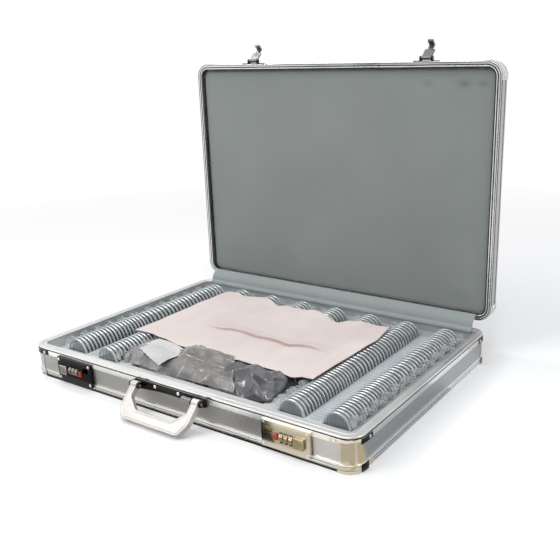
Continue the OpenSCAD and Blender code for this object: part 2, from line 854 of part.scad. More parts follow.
module hinge_base_leaves() {
  color("silver") for (s = [LEFT, RIGHT]) {
    x = s * hinge_x;
    difference() {
      union() {
        block(x - hinge_len / 2, x + hinge_len / 2, rear_y, rear_y + leaf_t, flange_z - leaf_h, flange_z);
        knuckle(x - hinge_len / 2, x - knuckle_len / 2 - knuckle_gap, hinge_z - knuckle_r, flange_z);
        knuckle(x + knuckle_len / 2 + knuckle_gap, x + hinge_len / 2, hinge_z - knuckle_r, flange_z);
      }
      knuckle_bore(x);
    }
  }
}

module hinge_lid_leaves() {
  arm_top = hinge_z + knuckle_r;
  color("silver") lid_at_rest() for (s = [LEFT, RIGHT]) {
    x = s * hinge_x;
    difference() {
      union() {
        block(x - hinge_len / 2, x + hinge_len / 2, rear_y, rear_y + leaf_t,
              arm_top - leaf_t, arm_top + leaf_h);
        knuckle(x - knuckle_len / 2, x + knuckle_len / 2, arm_top - leaf_t, arm_top);
      }
      knuckle_bore(x);
    }
  }
}

module hinge_pins() {
  color("gray") for (s = [LEFT, RIGHT])
    bar_x(s * hinge_x - hinge_len / 2, s * hinge_x + hinge_len / 2, hinge_y, hinge_z, hinge_pin_r);
}

// Lid

module lid_frame() {
  color("gainsboro") lid_at_rest() difference() {
    layer(0, lid_z, lid_top);
    layer(mate_w, lid_z - eps, skin_top);
    layer(frame_t, lid_z + mate_t, skin_top);
    layer(skin_flange_w, skin_top - eps, lid_top + eps);
    pressed_line(lid_z + mate_t);
    pressed_line(skin_top - mate_t);
    band(frame_t, frame_t + groove_h, lid_z - eps, lid_z + groove_d);
  }
}

module lid_skin_panel() {
  color("darkgray") lid_at_rest() layer(frame_t + run_gap, skin_top - skin_t, skin_top);
}

// Pad with sides that draw in towards its face, and a slight crown
module lid_pad() {
  edge = pad_crown + pad_round;
  color("slategray") lid_at_rest() hull() {
    layer(pad_u, pad_face_z + edge, skin_top - skin_t, $fn = 32);
    layer(pad_u + pad_round, pad_face_z + pad_crown, pad_face_z + edge, $fn = 32);
    layer(pad_u + 40 * pad_crown, pad_face_z, pad_face_z + edge, $fn = 32);
  }
}

// Corner shells of the lid with their rivets
module lid_fittings() {
  reach = cap_reach;
  mid = (lid_z + lid_top) / 2;
  inset = reach - 2 * rivet_r;
  color("tan") lid_at_rest() {
    intersection() {
      union() {
        band(-fit_t, 0, lid_z + 1, lid_top + fit_t);
        band(-fit_t, skin_flange_w, lid_top, lid_top + fit_t);
      }
      corner_regions(reach, lid_z, lid_top);
    }
    for (turn = [0, 180], s = [LEFT, RIGHT]) rotate(turn) {
      rivet_front(s * (case_w / 2 - inset), front_y - fit_t, mid);
      rotate(90) rivet_front(s * (case_d / 2 - inset), -case_w / 2 - fit_t, mid);
    }
  }
}

// Hasps

hasp_ear = 2;
hasp_play = 0.3;
hasp_knuckle_r = 2.8;

// Base plates of the hasps on the lid, with ears and pins
module hasp_plates() {
  z = lid_z + hasp_pin_z;
  color("silver") lid_at_rest() for (s = [LEFT, RIGHT]) {
    x = s * (lock_x - hasp_off);
    half = hasp_w / 2 + hasp_play;
    block(x - hasp_plate_w / 2, x + hasp_plate_w / 2, front_y - hasp_plate_t, front_y,
          z - hasp_plate_h / 2, z + hasp_plate_h / 2);
    for (e = [LEFT, RIGHT]) {
      bar_x(x + e * half, x + e * (half + hasp_ear), hasp_pin_y, z, hasp_knuckle_r);
      block(x + e * half, x + e * (half + hasp_ear), hasp_pin_y, front_y,
            z - hasp_knuckle_r, z + hasp_knuckle_r);
    }
    bar_x(x - half, x + half, hasp_pin_y, z, hasp_pin_r);
  }
}

// Hasp drawn latched, hanging from its pin at the origin
module hasp_latched() {
  difference() {
    union() {
      bar_x(-hasp_w / 2, hasp_w / 2, 0, 0, hasp_knuckle_r);
      block(-hasp_w / 2, hasp_w / 2, -hasp_t / 2, hasp_t / 2, -hasp_len * 0.6, 0);
      block(-hook_w / 2, hook_w / 2, -hasp_t / 2, hasp_t / 2, -hasp_len, -hasp_len * 0.6 + eps);
      block(-hook_w / 2, hook_w / 2, -hasp_t / 2, hasp_pin_out + hook_reach - 1,
            -hasp_len, -hasp_len + hook_t);
    }
    bar_x(-hasp_w, hasp_w, 0, 0, hasp_pin_r + pin_gap);
  }
}

module hasp(s) {
  color("silver") lid_at_rest() translate([s * (lock_x - hasp_off), hasp_pin_y, lid_z + hasp_pin_z])
    rotate([-hasp_open, 0, 0]) hasp_latched();
}

module left_hasp() { hasp(LEFT); }
module right_hasp() { hasp(RIGHT); }

base_bottom_panel();
base_lower_frame();
base_front_panel();
base_rear_panel();
base_left_panel();
base_right_panel();
base_rim_frame();
base_corner_plates();
base_upper_corner_fittings();
base_lower_corner_fittings();
base_corner_rivets();
lens_tray();
label_strips();
outer_left_rack();
inner_left_rack();
inner_right_rack();
outer_right_rack();
centre_racks();
outer_left_rims();
inner_left_rims();
inner_right_rims();
outer_right_rims();
centre_1_rims();
centre_2_rims();
centre_3_rims();
centre_4_rims();
lens_glass();
packing_sheet();
film_bag();
dark_pouch();
leaflet();
gusset();
left_lock_body();
right_lock_body();
lock_rivets();
dial_shafts();
left_dial_outer();
left_dial_middle();
left_dial_inner();
right_dial_inner();
right_dial_middle();
right_dial_outer();
left_slide_button();
right_slide_button();
left_push_button();
right_push_button();
handle_bracket();
handle_pins();
handle();
hinge_base_leaves();
hinge_pins();
hinge_lid_leaves();
lid_frame();
lid_skin_panel();
lid_pad();
lid_fittings();
hasp_plates();
left_hasp();
right_hasp();
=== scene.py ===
# Trial lens set in an aluminium carrying case, dressed for rendering.
# Metres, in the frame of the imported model.

import math

import bmesh
import bpy
from mathutils import Matrix, Vector, noise


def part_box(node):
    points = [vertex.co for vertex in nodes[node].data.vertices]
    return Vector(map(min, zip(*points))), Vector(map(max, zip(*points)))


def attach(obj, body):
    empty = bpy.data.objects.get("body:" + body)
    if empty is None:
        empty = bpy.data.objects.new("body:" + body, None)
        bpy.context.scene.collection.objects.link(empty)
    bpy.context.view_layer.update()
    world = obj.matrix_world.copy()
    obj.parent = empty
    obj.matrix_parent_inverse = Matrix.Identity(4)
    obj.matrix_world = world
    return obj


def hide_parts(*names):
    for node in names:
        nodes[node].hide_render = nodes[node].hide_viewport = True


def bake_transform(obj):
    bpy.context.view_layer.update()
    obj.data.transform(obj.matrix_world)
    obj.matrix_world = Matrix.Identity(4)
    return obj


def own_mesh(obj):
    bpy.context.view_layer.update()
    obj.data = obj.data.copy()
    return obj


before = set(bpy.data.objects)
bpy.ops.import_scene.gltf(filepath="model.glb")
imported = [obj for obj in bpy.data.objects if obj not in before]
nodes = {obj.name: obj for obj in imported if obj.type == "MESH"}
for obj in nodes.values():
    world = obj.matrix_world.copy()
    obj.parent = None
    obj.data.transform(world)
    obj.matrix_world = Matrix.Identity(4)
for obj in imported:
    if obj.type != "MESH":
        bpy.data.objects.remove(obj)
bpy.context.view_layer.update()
scene = bpy.context.scene
scene.view_settings.view_transform = "Standard"

MM = 0.001
CASE_W = 530 * MM
CASE_D = 357 * MM
CORNER_R = 20 * MM
HINGE = Vector((0, 187 * MM, 44.2 * MM))
LID_OPEN = math.radians(91)
LID_SWING = (
    Matrix.Translation(HINGE) @ Matrix.Rotation(-LID_OPEN, 4, "X") @ Matrix.Translation(-HINGE)
)
LENS_TOP = 47 * MM
LENS_Z = 28 * MM
LENS_R = 19 * MM
ROWS = [x * MM for x in (-217, -155, -93, -31, 31, 93, 155, 217)]


# Camera, light and stage

def place_camera():
    azimuth, elevation, roll = (math.radians(a) for a in (32.37, 17.21, -1.1))
    ahead = Vector((
        -math.sin(azimuth) * math.cos(elevation),
        math.cos(azimuth) * math.cos(elevation),
        -math.sin(elevation),
    ))
    right = ahead.cross(Vector((0, 0, 1))).normalized()
    up = right.cross(ahead)
    side = right * math.cos(roll) + up * math.sin(roll)
    top = up * math.cos(roll) - right * math.sin(roll)
    turn = Matrix((side, top, -ahead)).transposed().to_4x4()
    data = bpy.data.cameras.new("photo_camera")
    data.sensor_width = 36
    data.lens = 46.08
    data.shift_x = -0.12
    data.clip_start = 0.01
    camera = bpy.data.objects.new("photo_camera", data)
    camera.matrix_world = Matrix.Translation((0.60723, -0.72989, 0.41655)) @ turn
    scene.collection.objects.link(camera)
    scene.camera = camera


def seen_rays(tree):
    """Socket that is 1 for camera, glossy and transmission rays."""
    path = tree.nodes.new("ShaderNodeLightPath").outputs
    result = path["Is Camera Ray"]
    for name in ("Is Glossy Ray", "Is Transmission Ray"):
        result = combine(tree, result, path[name], "MAXIMUM")
    return result


def mix_shaders(tree, share, first, second, output):
    """Shader that turns from the first to the second as the share goes to 1."""
    mix = tree.nodes.new("ShaderNodeMixShader")
    tree.links.new(share, mix.inputs[0])
    tree.links.new(first.outputs[0], mix.inputs[1])
    tree.links.new(second.outputs[0], mix.inputs[2])
    tree.links.new(mix.outputs[0], tree.nodes[output].inputs["Surface"])


def light_world():
    world = bpy.data.worlds.new("studio")
    scene.world = world
    world.use_nodes = True
    tree = world.node_tree
    fill = tree.nodes["Background"]
    fill.inputs["Color"].default_value = (0.95, 0.97, 1.0, 1)
    fill.inputs["Strength"].default_value = 0.5
    white = tree.nodes.new("ShaderNodeBackground")
    white.inputs["Color"].default_value = (1, 1, 1, 1)
    mix_shaders(tree, seen_rays(tree), fill, white, "World Output")


def area_lamp(name, place, aim, size, watts, colour=(1, 1, 1)):
    data = bpy.data.lights.new(name, "AREA")
    data.size = size
    data.energy = watts
    data.color = colour
    lamp = bpy.data.objects.new(name, data)
    toward = Vector(aim) - Vector(place)
    lamp.matrix_world = Matrix.Translation(place) @ toward.to_track_quat("-Z", "Y").to_matrix().to_4x4()
    scene.collection.objects.link(lamp)


def floor_finish():
    """Pale floor that keeps a shadow near the case and fades to white further off."""
    near = 0.45
    far = 1.6
    near_glow = 0.12
    mat = finish("studio_floor", (0.9, 0.9, 0.905), Roughness=0.9, Specular_IOR_Level=0.0)
    tree = mat.node_tree
    paint = tree.nodes["Principled BSDF"]
    glow = tree.nodes.new("ShaderNodeEmission")
    glow.inputs["Color"].default_value = (1, 1, 1, 1)
    place = tree.nodes.new("ShaderNodeTexCoord")
    reach = tree.nodes.new("ShaderNodeVectorMath")
    reach.operation = "LENGTH"
    tree.links.new(place.outputs["Object"], reach.inputs[0])
    fade = mapped(tree, reach.outputs["Value"], near, far, near_glow)
    share = combine(tree, fade, seen_rays(tree), "MULTIPLY")
    mix_shaders(tree, share, paint, glow, "Material Output")
    return mat


def set_lamps():
    middle = (0, 0, 0.1)
    area_lamp("key_lamp", (-1.1, -1.7, 2.1), middle, 1.5, 33)
    area_lamp("top_lamp", (0.3, 0.1, 2.4), (0, 0.05, 0), 2.0, 17)
    area_lamp("side_lamp", (2.2, -0.6, 1.0), middle, 1.2, 7, (0.94, 0.97, 1.0))
    area_lamp("sparkle_lamp", (0.5, -0.5, 1.9), (0, 0, 0.05), 0.16, 4)
    area_lamp("left_sparkle_lamp", (-0.9, 0.25, 1.3), (0, -0.1, 0.05), 0.2, 3)


def lay_floor():
    bm = bmesh.new()
    bmesh.ops.create_circle(bm, cap_ends=True, segments=64, radius=14)
    floor = mesh_object("studio_floor", bm, floor_finish())


def reflected_card(name, colour, place, size, tilt=0, turn=0):
    """Card that only shows in polished metal, like a flag beside the camera."""
    mat = finish(name, (0, 0, 0), Roughness=1.0, Specular_IOR_Level=0.0, Emission_Strength=1.0)
    mat.node_tree.nodes["Principled BSDF"].inputs["Emission Color"].default_value = (*colour, 1)
    bm = bmesh.new()
    bmesh.ops.create_grid(bm, x_segments=1, y_segments=1, size=0.5)
    bmesh.ops.scale(bm, vec=(size[0], size[1], 1), verts=bm.verts)
    bmesh.ops.rotate(bm, matrix=Matrix.Rotation(math.radians(tilt), 3, "X"), verts=bm.verts)
    bmesh.ops.rotate(bm, matrix=Matrix.Rotation(math.radians(turn), 3, "Z"), verts=bm.verts)
    bmesh.ops.translate(bm, vec=place, verts=bm.verts)
    card = mesh_object(name, bm, mat)
    card.visible_camera = False
    card.visible_diffuse = False
    card.visible_shadow = False
    card.visible_transmission = False


def set_cards():
    """Cards on the floor close to the walls, and flags higher up."""
    black = (0.01, 0.009, 0.009)
    warm = (0.6, 0.55, 0.44)
    grey = (0.44, 0.43, 0.42)
    pale = (0.95, 0.94, 0.91)
    reflected_card("front_end_card", pale, (-0.36, -0.203, 0.002), (0.19, 0.05))
    reflected_card("front_left_card", (0.36, 0.35, 0.34), (-0.08, -0.203, 0.002), (0.37, 0.05))
    reflected_card("front_lock_card", warm, (0.147, -0.208, 0.002), (0.084, 0.06))
    reflected_card("right_lock_card", black, (0.12, -0.19, 0.004), (0.1, 0.05), 0, 47)
    reflected_card("right_end_card", (0.8, 0.76, 0.7), (0.206, -0.203, 0.003), (0.052, 0.05))
    reflected_card("band_card", (1.28, 1.26, 1.22), (-0.15, -0.25, 0.002), (1.0, 0.042))
    reflected_card("lower_frame_card", (0.85, 0.83, 0.8), (-0.05, -0.1855, 0.0045), (0.62, 0.013))
    reflected_card("right_corner_card", warm, (0.279, -0.19, 0.003), (0.112, 0.1))
    reflected_card("corner_glint", (0.8, 0.78, 0.73), (0.288, -0.181, 0.004), (0.06, 0.009), 0, -22)
    reflected_card("right_near_card", (0.4, 0.425, 0.445), (0.3, -0.04, 0.002), (0.07, 0.2))
    reflected_card("right_far_card", (0.8, 0.83, 0.86), (0.3, 0.17, 0.002), (0.07, 0.22))
    reflected_card("left_card", grey, (-0.3, 0.05, 0.002), (0.07, 0.5))
    reflected_card("rear_card", grey, (0.0, 0.22, 0.002), (0.66, 0.07))
    reflected_card("lid_rail_card", (0.42, 0.415, 0.42), (-0.17, -0.9, 0.23), (0.4, 0.46), 90)
    reflected_card("camera_right_flag", black, (1.9, -1.2, 0.7), (1.2, 1.8), 90, 60)
    reflected_card("camera_left_flag", black, (-1.3, -2.4, 0.7), (1.0, 1.8), 90, -25)
    reflected_card("overhead_flag", (0.2, 0.2, 0.2), (0.0, -1.0, 3.2), (1.4, 0.8))


# Making of meshes

def mesh_object(name, bm, mat, smooth=False):
    mesh = bpy.data.meshes.new(name)
    bm.to_mesh(mesh)
    bm.free()
    mesh.materials.append(mat)
    if smooth:
        mesh.shade_smooth()
    piece = bpy.data.objects.new(name, mesh)
    scene.collection.objects.link(piece)
    return piece


def add_piece(name, bm, mat, body, replaced=(), smooth=True):
    piece = mesh_object(name, bm, mat, smooth)
    if body:
        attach(piece, body)
    if replaced:
        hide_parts(*replaced)
    return piece


def soften_edges(piece, width):
    join = piece.modifiers.new("joined", "WELD")
    join.merge_threshold = 1e-6
    edge = piece.modifiers.new("soft_edges", "BEVEL")
    edge.width = width
    edge.segments = 2
    edge.limit_method = "ANGLE"
    edge.angle_limit = math.radians(40)
    edge.use_clamp_overlap = True
    edge.harden_normals = True


def smooth_form(piece):
    form = piece.modifiers.new("smooth_form", "SUBSURF")
    form.levels = 1
    form.render_levels = 1


def thickness(piece, depth, offset=0):
    wall = piece.modifiers.new("thickness", "SOLIDIFY")
    wall.thickness = depth
    wall.offset = offset


def round_off(bm, geom, offset, segments, affect="EDGES"):
    bmesh.ops.bevel(bm, geom=geom, offset=offset, offset_type="OFFSET", affect=affect, segments=segments,
                    profile=0.5, material=-1, clamp_overlap=affect == "EDGES")


def made_verts(result):
    """Vertices among what a bmesh operator has made."""
    return [g for g in result["geom"] if isinstance(g, bmesh.types.BMVert)]


def ridges(x, y, scale, seed):
    """Sharp crumple lines between 0 and 1."""
    return 1 - min(1, 2.2 * abs(noise.noise(Vector((x * scale, y * scale, seed)))))


def swell(x, y, scale, seed):
    """Soft rise and fall between about -1 and 1."""
    return 1.6 * noise.noise(Vector((x * scale, y * scale, seed)))


def along(points, t):
    """Point at share t of a polyline."""
    lengths = [(Vector(b) - Vector(a)).length for a, b in zip(points, points[1:])]
    want = t * sum(lengths)
    for a, b, run in zip(points, points[1:], lengths):
        if want <= run:
            return Vector(a).lerp(Vector(b), want / run)
        want -= run
    return Vector(points[-1])


def patch_point(edges, s, t):
    """Point of a sheet between its front, rear, left and right edges."""
    front, rear, left, right = edges
    mix_y = along(front, s).lerp(along(rear, s), t)
    mix_x = along(left, t).lerp(along(right, t), s)
    low = Vector(front[0]).lerp(Vector(front[-1]), s)
    high = Vector(rear[0]).lerp(Vector(rear[-1]), s)
    return mix_y + mix_x - low.lerp(high, t)


def grid_shares(bm, nx, ny):
    """Flat grid whose points run from 0 to 1."""
    bmesh.ops.create_grid(bm, x_segments=nx, y_segments=ny, size=0.5)
    bmesh.ops.translate(bm, vec=(0.5, 0.5, 0), verts=bm.verts)


# Finishes

def finish(name, colour, **sockets):
    """Principled material; sockets are given with underscores for spaces."""
    mat = bpy.data.materials.new(name)
    mat.use_nodes = True
    shader = mat.node_tree.nodes["Principled BSDF"]
    shader.inputs["Base Color"].default_value = (*colour, 1)
    for key, value in sockets.items():
        shader.inputs[key.replace("_", " ")].default_value = value
    return mat


def texture(mat, kind, scale, stretch=(1, 1, 1), turn=(0, 0, 0), source=None, **settings):
    """Pattern on Object coordinates, or on another vector; gives its value socket."""
    tree = mat.node_tree
    if source is None:
        source = tree.nodes.new("ShaderNodeTexCoord").outputs["Object"]
    place = tree.nodes.new("ShaderNodeMapping")
    place.inputs["Scale"].default_value = stretch
    place.inputs["Rotation"].default_value = turn
    tree.links.new(source, place.inputs["Vector"])
    pattern = tree.nodes.new("ShaderNodeTex" + kind)
    pattern.inputs["Scale"].default_value = scale
    for key, value in settings.items():
        if key in pattern.inputs:
            pattern.inputs[key].default_value = value
        else:
            setattr(pattern, key, value)
    tree.links.new(place.outputs[0], pattern.inputs["Vector"])
    for out in ("Fac", "Distance", "Color"):
        if out in pattern.outputs and pattern.outputs[out].enabled:
            return pattern.outputs[out]


def tint(mat, value, dark, light, low=0.35, high=0.65):
    tree = mat.node_tree
    ramp = tree.nodes.new("ShaderNodeValToRGB")
    ramp.color_ramp.elements[0].position = low
    ramp.color_ramp.elements[0].color = (*dark, 1)
    ramp.color_ramp.elements[1].position = high
    ramp.color_ramp.elements[1].color = (*light, 1)
    tree.links.new(value, ramp.inputs[0])
    tree.links.new(ramp.outputs["Color"], tree.nodes["Principled BSDF"].inputs["Base Color"])


def mapped(tree, value, start, end, low=0.0, high=1.0):
    """Socket that runs from low to high as the value goes from start to end."""
    span = tree.nodes.new("ShaderNodeMapRange")
    span.inputs["From Min"].default_value = start
    span.inputs["From Max"].default_value = end
    span.inputs["To Min"].default_value = low
    span.inputs["To Max"].default_value = high
    tree.links.new(value, span.inputs["Value"])
    return span.outputs[0]


def sheen_range(mat, value, low, high):
    """Roughness that runs from low to high with the pattern."""
    tree = mat.node_tree
    span = mapped(tree, value, 0.3, 0.7, low, high)
    tree.links.new(span, tree.nodes["Principled BSDF"].inputs["Roughness"])


def relief(mat, value, depth, strength=1.0):
    """Fine surface relief, on top of any that is there."""
    tree = mat.node_tree
    bump = tree.nodes.new("ShaderNodeBump")
    bump.inputs["Distance"].default_value = depth
    bump.inputs["Strength"].default_value = strength
    tree.links.new(value, bump.inputs["Height"])
    normal = tree.nodes["Principled BSDF"].inputs["Normal"]
    if normal.is_linked:
        tree.links.new(normal.links[0].from_socket, bump.inputs["Normal"])
    tree.links.new(bump.outputs[0], normal)


def blend_colour(mat, share, colour):
    """Base colour that turns to another one as the share goes to 1."""
    tree = mat.node_tree
    mix = tree.nodes.new("ShaderNodeMix")
    mix.data_type = "RGBA"
    base = tree.nodes["Principled BSDF"].inputs["Base Color"]
    tree.links.new(share, mix.inputs["Factor"])
    tree.links.new(base.links[0].from_socket, mix.inputs[6])
    mix.inputs[7].default_value = (*colour, 1)
    tree.links.new(mix.outputs[2], base)


def deepen(mat, attribute, colour):
    """Another colour where the mesh carries the attribute."""
    share = mat.node_tree.nodes.new("ShaderNodeAttribute")
    share.attribute_name = attribute
    blend_colour(mat, share.outputs["Fac"], colour)


def combine(tree, a, b, operation):
    both = tree.nodes.new("ShaderNodeMath")
    both.operation = operation
    tree.links.new(a, both.inputs[0])
    tree.links.new(b, both.inputs[1])
    return both.outputs[0]


def object_axes(tree):
    """Sockets X, Y and Z of the Object coordinates."""
    place = tree.nodes.new("ShaderNodeTexCoord")
    parts = tree.nodes.new("ShaderNodeSeparateXYZ")
    tree.links.new(place.outputs["Object"], parts.inputs[0])
    return parts.outputs


def wall_vector(tree):
    """Vector that runs along any upright wall of the case and up it."""
    axes = object_axes(tree)
    joined = tree.nodes.new("ShaderNodeCombineXYZ")
    tree.links.new(combine(tree, axes["X"], axes["Y"], "ADD"), joined.inputs["X"])
    tree.links.new(axes["Z"], joined.inputs["Y"])
    return joined.outputs[0]


def smooth_ends(tree):
    """Share by which the hatch gives way to its light plain tone at the left and right ends of the front."""
    across = object_axes(tree)["X"]
    left = mapped(tree, across, 0.03, -0.06, 0.0, 0.76)
    right = mapped(tree, across, 0.196, 0.206)
    return combine(tree, left, right, "MAXIMUM")


def bands(pitch):
    """Scale of a wave texture whose lines are pitch apart."""
    return math.pi / (10 * pitch)


def satin_aluminium(name, tone, smooth=0.22, dull=0.36):
    mat = finish(name, (tone, tone, tone), Metallic=1.0, Roughness=0.3)
    streaks = texture(mat, "Noise", 6, (1, 1, 160), Detail=4.0)
    cloud = texture(mat, "Noise", 18, Detail=5.0)
    tint(mat, streaks, (tone * 0.95,) * 3, (tone * 1.05, tone * 1.05, tone * 1.03), 0.3, 0.7)
    sheen_range(mat, cloud, smooth, dull)
    relief(mat, streaks, 0.00006)
    return mat


def hatched_aluminium(name, dark, light, pitch, tone_shift=False):
    mat = finish(name, light, Metallic=1.0, Roughness=0.4)
    tree = mat.node_tree
    wall = wall_vector(tree)
    rising, falling = (
        texture(mat, "Wave", bands(pitch), turn=(0, 0, math.radians(a)), source=wall) for a in (50, -50)
    )
    weave = combine(tree, rising, falling, "MAXIMUM")
    # At the ends of the front the hatch gives way to its plain light tone.
    shade = combine(tree, smooth_ends(tree), weave, "MAXIMUM") if tone_shift else weave
    cloud = texture(mat, "Noise", 22, Detail=4.0)
    tint(mat, shade, dark, light, 0.5, 1.0)
    sheen_range(mat, cloud, 0.32, 0.48)
    relief(mat, weave, 0.0003, 0.6)
    return mat


def polished_metal(name, colour, rough=0.07, smear=0.9, wave=0.35, dull=2.2):
    mat = finish(name, colour, Metallic=1.0, Roughness=rough)
    smears = texture(mat, "Noise", 55, (1, 1, 3), Detail=6.0, Roughness=0.65)
    ripple = texture(mat, "Noise", 30, Detail=1.0)
    tint(mat, smears, tuple(c * smear for c in colour), colour)
    sheen_range(mat, smears, rough * 0.7, rough * dull)
    relief(mat, ripple, 0.0004, wave)
    return mat


def moulded_plastic(name, dark, light, rough=0.45):
    mat = finish(name, light, Roughness=rough, Specular_IOR_Level=0.45)
    grain = texture(mat, "Noise", 900, Detail=2.0)
    cloud = texture(mat, "Noise", 14, Detail=5.0)
    tint(mat, cloud, dark, light)
    sheen_range(mat, cloud, rough * 0.8, rough * 1.25)
    relief(mat, grain, 0.00008, 0.6)
    return mat


def tray_plastic():
    """Moulded plastic that is paler at the front, where the rim throws light on it."""
    mat = moulded_plastic("tray_plastic", (0.34, 0.365, 0.372), (0.42, 0.445, 0.452))
    tree = mat.node_tree
    front = mapped(tree, object_axes(tree)["Y"], -0.105, -0.138)
    blend_colour(mat, front, (0.54, 0.555, 0.55))
    return mat


def woven_cloth(name, dark, light, pitch):
    mat = finish(name, light, Roughness=0.85, Sheen_Weight=0.25, Sheen_Roughness=0.5)
    warp = texture(mat, "Wave", bands(pitch), bands_direction="X", Distortion=0.6)
    weft = texture(mat, "Wave", bands(pitch), bands_direction="Z", Distortion=0.6)
    weave = combine(mat.node_tree, warp, weft, "MULTIPLY")
    cloud = texture(mat, "Noise", 9, Detail=6.0)
    tint(mat, cloud, dark, light, 0.3, 0.7)
    sheen_range(mat, cloud, 0.78, 0.92)
    relief(mat, weave, 0.00025, 0.7)
    return mat


def tinted_glass():
    mat = finish("lens_glass", (0.78, 0.84, 0.85), Roughness=0.02, IOR=1.5, Transmission_Weight=0.9)
    smears = texture(mat, "Noise", 40, Detail=4.0)
    sheen_range(mat, smears, 0.0, 0.05)
    tint(mat, smears, (0.73, 0.79, 0.8), (0.82, 0.87, 0.88))
    return mat


def plated_rim():
    mat = finish("lens_rim_metal", (0.6, 0.625, 0.635), Metallic=0.5, Roughness=0.2)
    cloud = texture(mat, "Noise", 80, Detail=5.0)
    tint(mat, cloud, (0.54, 0.565, 0.575), (0.64, 0.665, 0.675))
    sheen_range(mat, cloud, 0.14, 0.28)
    relief(mat, cloud, 0.0002, 0.3)
    return mat


def clear_grip():
    mat = finish("lens_grip", (0.9, 0.92, 0.93), Roughness=0.06, Transmission_Weight=0.75, Coat_Weight=0.5)
    cloud = texture(mat, "Noise", 120, Detail=4.0)
    tint(mat, cloud, (0.86, 0.885, 0.895), (0.94, 0.955, 0.96))
    sheen_range(mat, cloud, 0.03, 0.1)
    return mat


def clear_film():
    mat = finish("clear_film", (0.48, 0.46, 0.445), Roughness=0.25, IOR=1.35, Transmission_Weight=0.7,
                 Coat_Weight=0.2, Coat_Roughness=0.12)
    wrinkle = texture(mat, "Noise", 30, Detail=1.0, Distortion=0.6)
    sheen_range(mat, wrinkle, 0.18, 0.32)
    tint(mat, wrinkle, (0.42, 0.405, 0.39), (0.53, 0.51, 0.495))
    # Painted highlight: the film turns nearly white along its folds and edges, through the fold attribute.
    deepen(mat, "fold", (0.97, 0.97, 0.96))
    relief(mat, wrinkle, 0.001, 0.2)
    return mat


def dark_plastic_bag():
    mat = finish("dark_pouch", (0.09, 0.086, 0.096), Roughness=0.35, Coat_Weight=0.4, Coat_Roughness=0.12)
    wrinkle = texture(mat, "Noise", 26, Detail=2.0, Distortion=0.8)
    tint(mat, wrinkle, (0.04, 0.04, 0.046), (0.095, 0.092, 0.1), 0.3, 0.75)
    # Painted highlight: pale streaks along the bag's folds, through the fold attribute.
    deepen(mat, "fold", (0.62, 0.61, 0.61))
    sheen_range(mat, wrinkle, 0.26, 0.44)
    relief(mat, wrinkle, 0.0015, 0.35)
    return mat


def pink_foam():
    mat = finish("pink_packing", (0.75, 0.65, 0.61), Roughness=0.7, Sheen_Weight=0.1, Sheen_Roughness=0.6,
                 Subsurface_Weight=0.15, Subsurface_Scale=0.004)
    cells = texture(mat, "Voronoi", 700)
    cloud = texture(mat, "Noise", 12, Detail=6.0)
    tint(mat, cloud, (0.635, 0.54, 0.51), (0.71, 0.615, 0.585), 0.3, 0.7)
    # Painted shade: the sheet turns deeper pink along its crease and in a soft band behind it, through the
    # crease attribute.
    deepen(mat, "crease", (0.36, 0.25, 0.235))
    sheen_range(mat, cloud, 0.55, 0.8)
    relief(mat, cells, 0.00012, 0.5)
    relief(mat, cloud, 0.002, 0.3)
    return mat


def white_paper(name, dark, light):
    mat = finish(name, light, Roughness=0.6)
    fibres = texture(mat, "Noise", 420, (1, 2.5, 1), Detail=6.0)
    cloud = texture(mat, "Noise", 25, Detail=3.0)
    tint(mat, cloud, dark, light)
    sheen_range(mat, fibres, 0.5, 0.7)
    relief(mat, fibres, 0.00006, 0.6)
    return mat


def glossy_plastic(name, dark, light):
    mat = finish(name, light, Roughness=0.2, Coat_Weight=0.4, Coat_Roughness=0.08)
    cloud = texture(mat, "Noise", 160, Detail=4.0)
    tint(mat, cloud, dark, light)
    sheen_range(mat, cloud, 0.15, 0.32)
    relief(mat, cloud, 0.00006, 0.4)
    return mat


def dark_inlay():
    """Painted shade: dull dark colour for the strips laid in the grooves of the frames and in the gap round
    the lid pad, and for the foot of the base's front.
    """
    mat = finish("painted_shade_strips", (0.012, 0.012, 0.013), Roughness=0.85, Specular_IOR_Level=0.1)
    grain = texture(mat, "Noise", 300, Detail=3.0)
    tint(mat, grain, (0.007, 0.007, 0.008), (0.018, 0.018, 0.019))
    sheen_range(mat, grain, 0.75, 0.95)
    relief(mat, grain, 0.00005, 0.5)
    return mat


def satin_handle():
    mat = finish("handle_satin", (0.58, 0.555, 0.52), Metallic=0.5, Roughness=0.36, Coat_Weight=0.25,
                 Coat_Roughness=0.2)
    cloud = texture(mat, "Noise", 30, Detail=6.0)
    grain = texture(mat, "Noise", 700, Detail=2.0)
    tint(mat, cloud, (0.52, 0.495, 0.465), (0.63, 0.605, 0.57))
    sheen_range(mat, cloud, 0.3, 0.45)
    relief(mat, grain, 0.00006, 0.5)
    return mat


FRAME_METAL = satin_aluminium("satin_aluminium", 0.88)
# Painted shade: a darker, duller copy of the frame's aluminium for the top and inside of the base rim.
RIM_TOP_SHADED_METAL = satin_aluminium("satin_rim_top_painted_shade", 0.64, 0.42, 0.55)
# Painted shade: a much darker copy of the frame's aluminium for the outside of the lid frame.
LID_EDGE_SHADED_METAL = satin_aluminium("satin_lid_edge_painted_shade", 0.42)
FRONT_PANEL_METAL = hatched_aluminium("hatched_front", (0.17, 0.168, 0.166), (0.62, 0.612, 0.605), 2.3 * MM,
                                      tone_shift=True)
PANEL_METAL = hatched_aluminium("hatched_panel", (0.29, 0.295, 0.3), (0.58, 0.59, 0.6), 1.6 * MM)
CHROME = polished_metal("polished_chrome", (0.8, 0.8, 0.79))
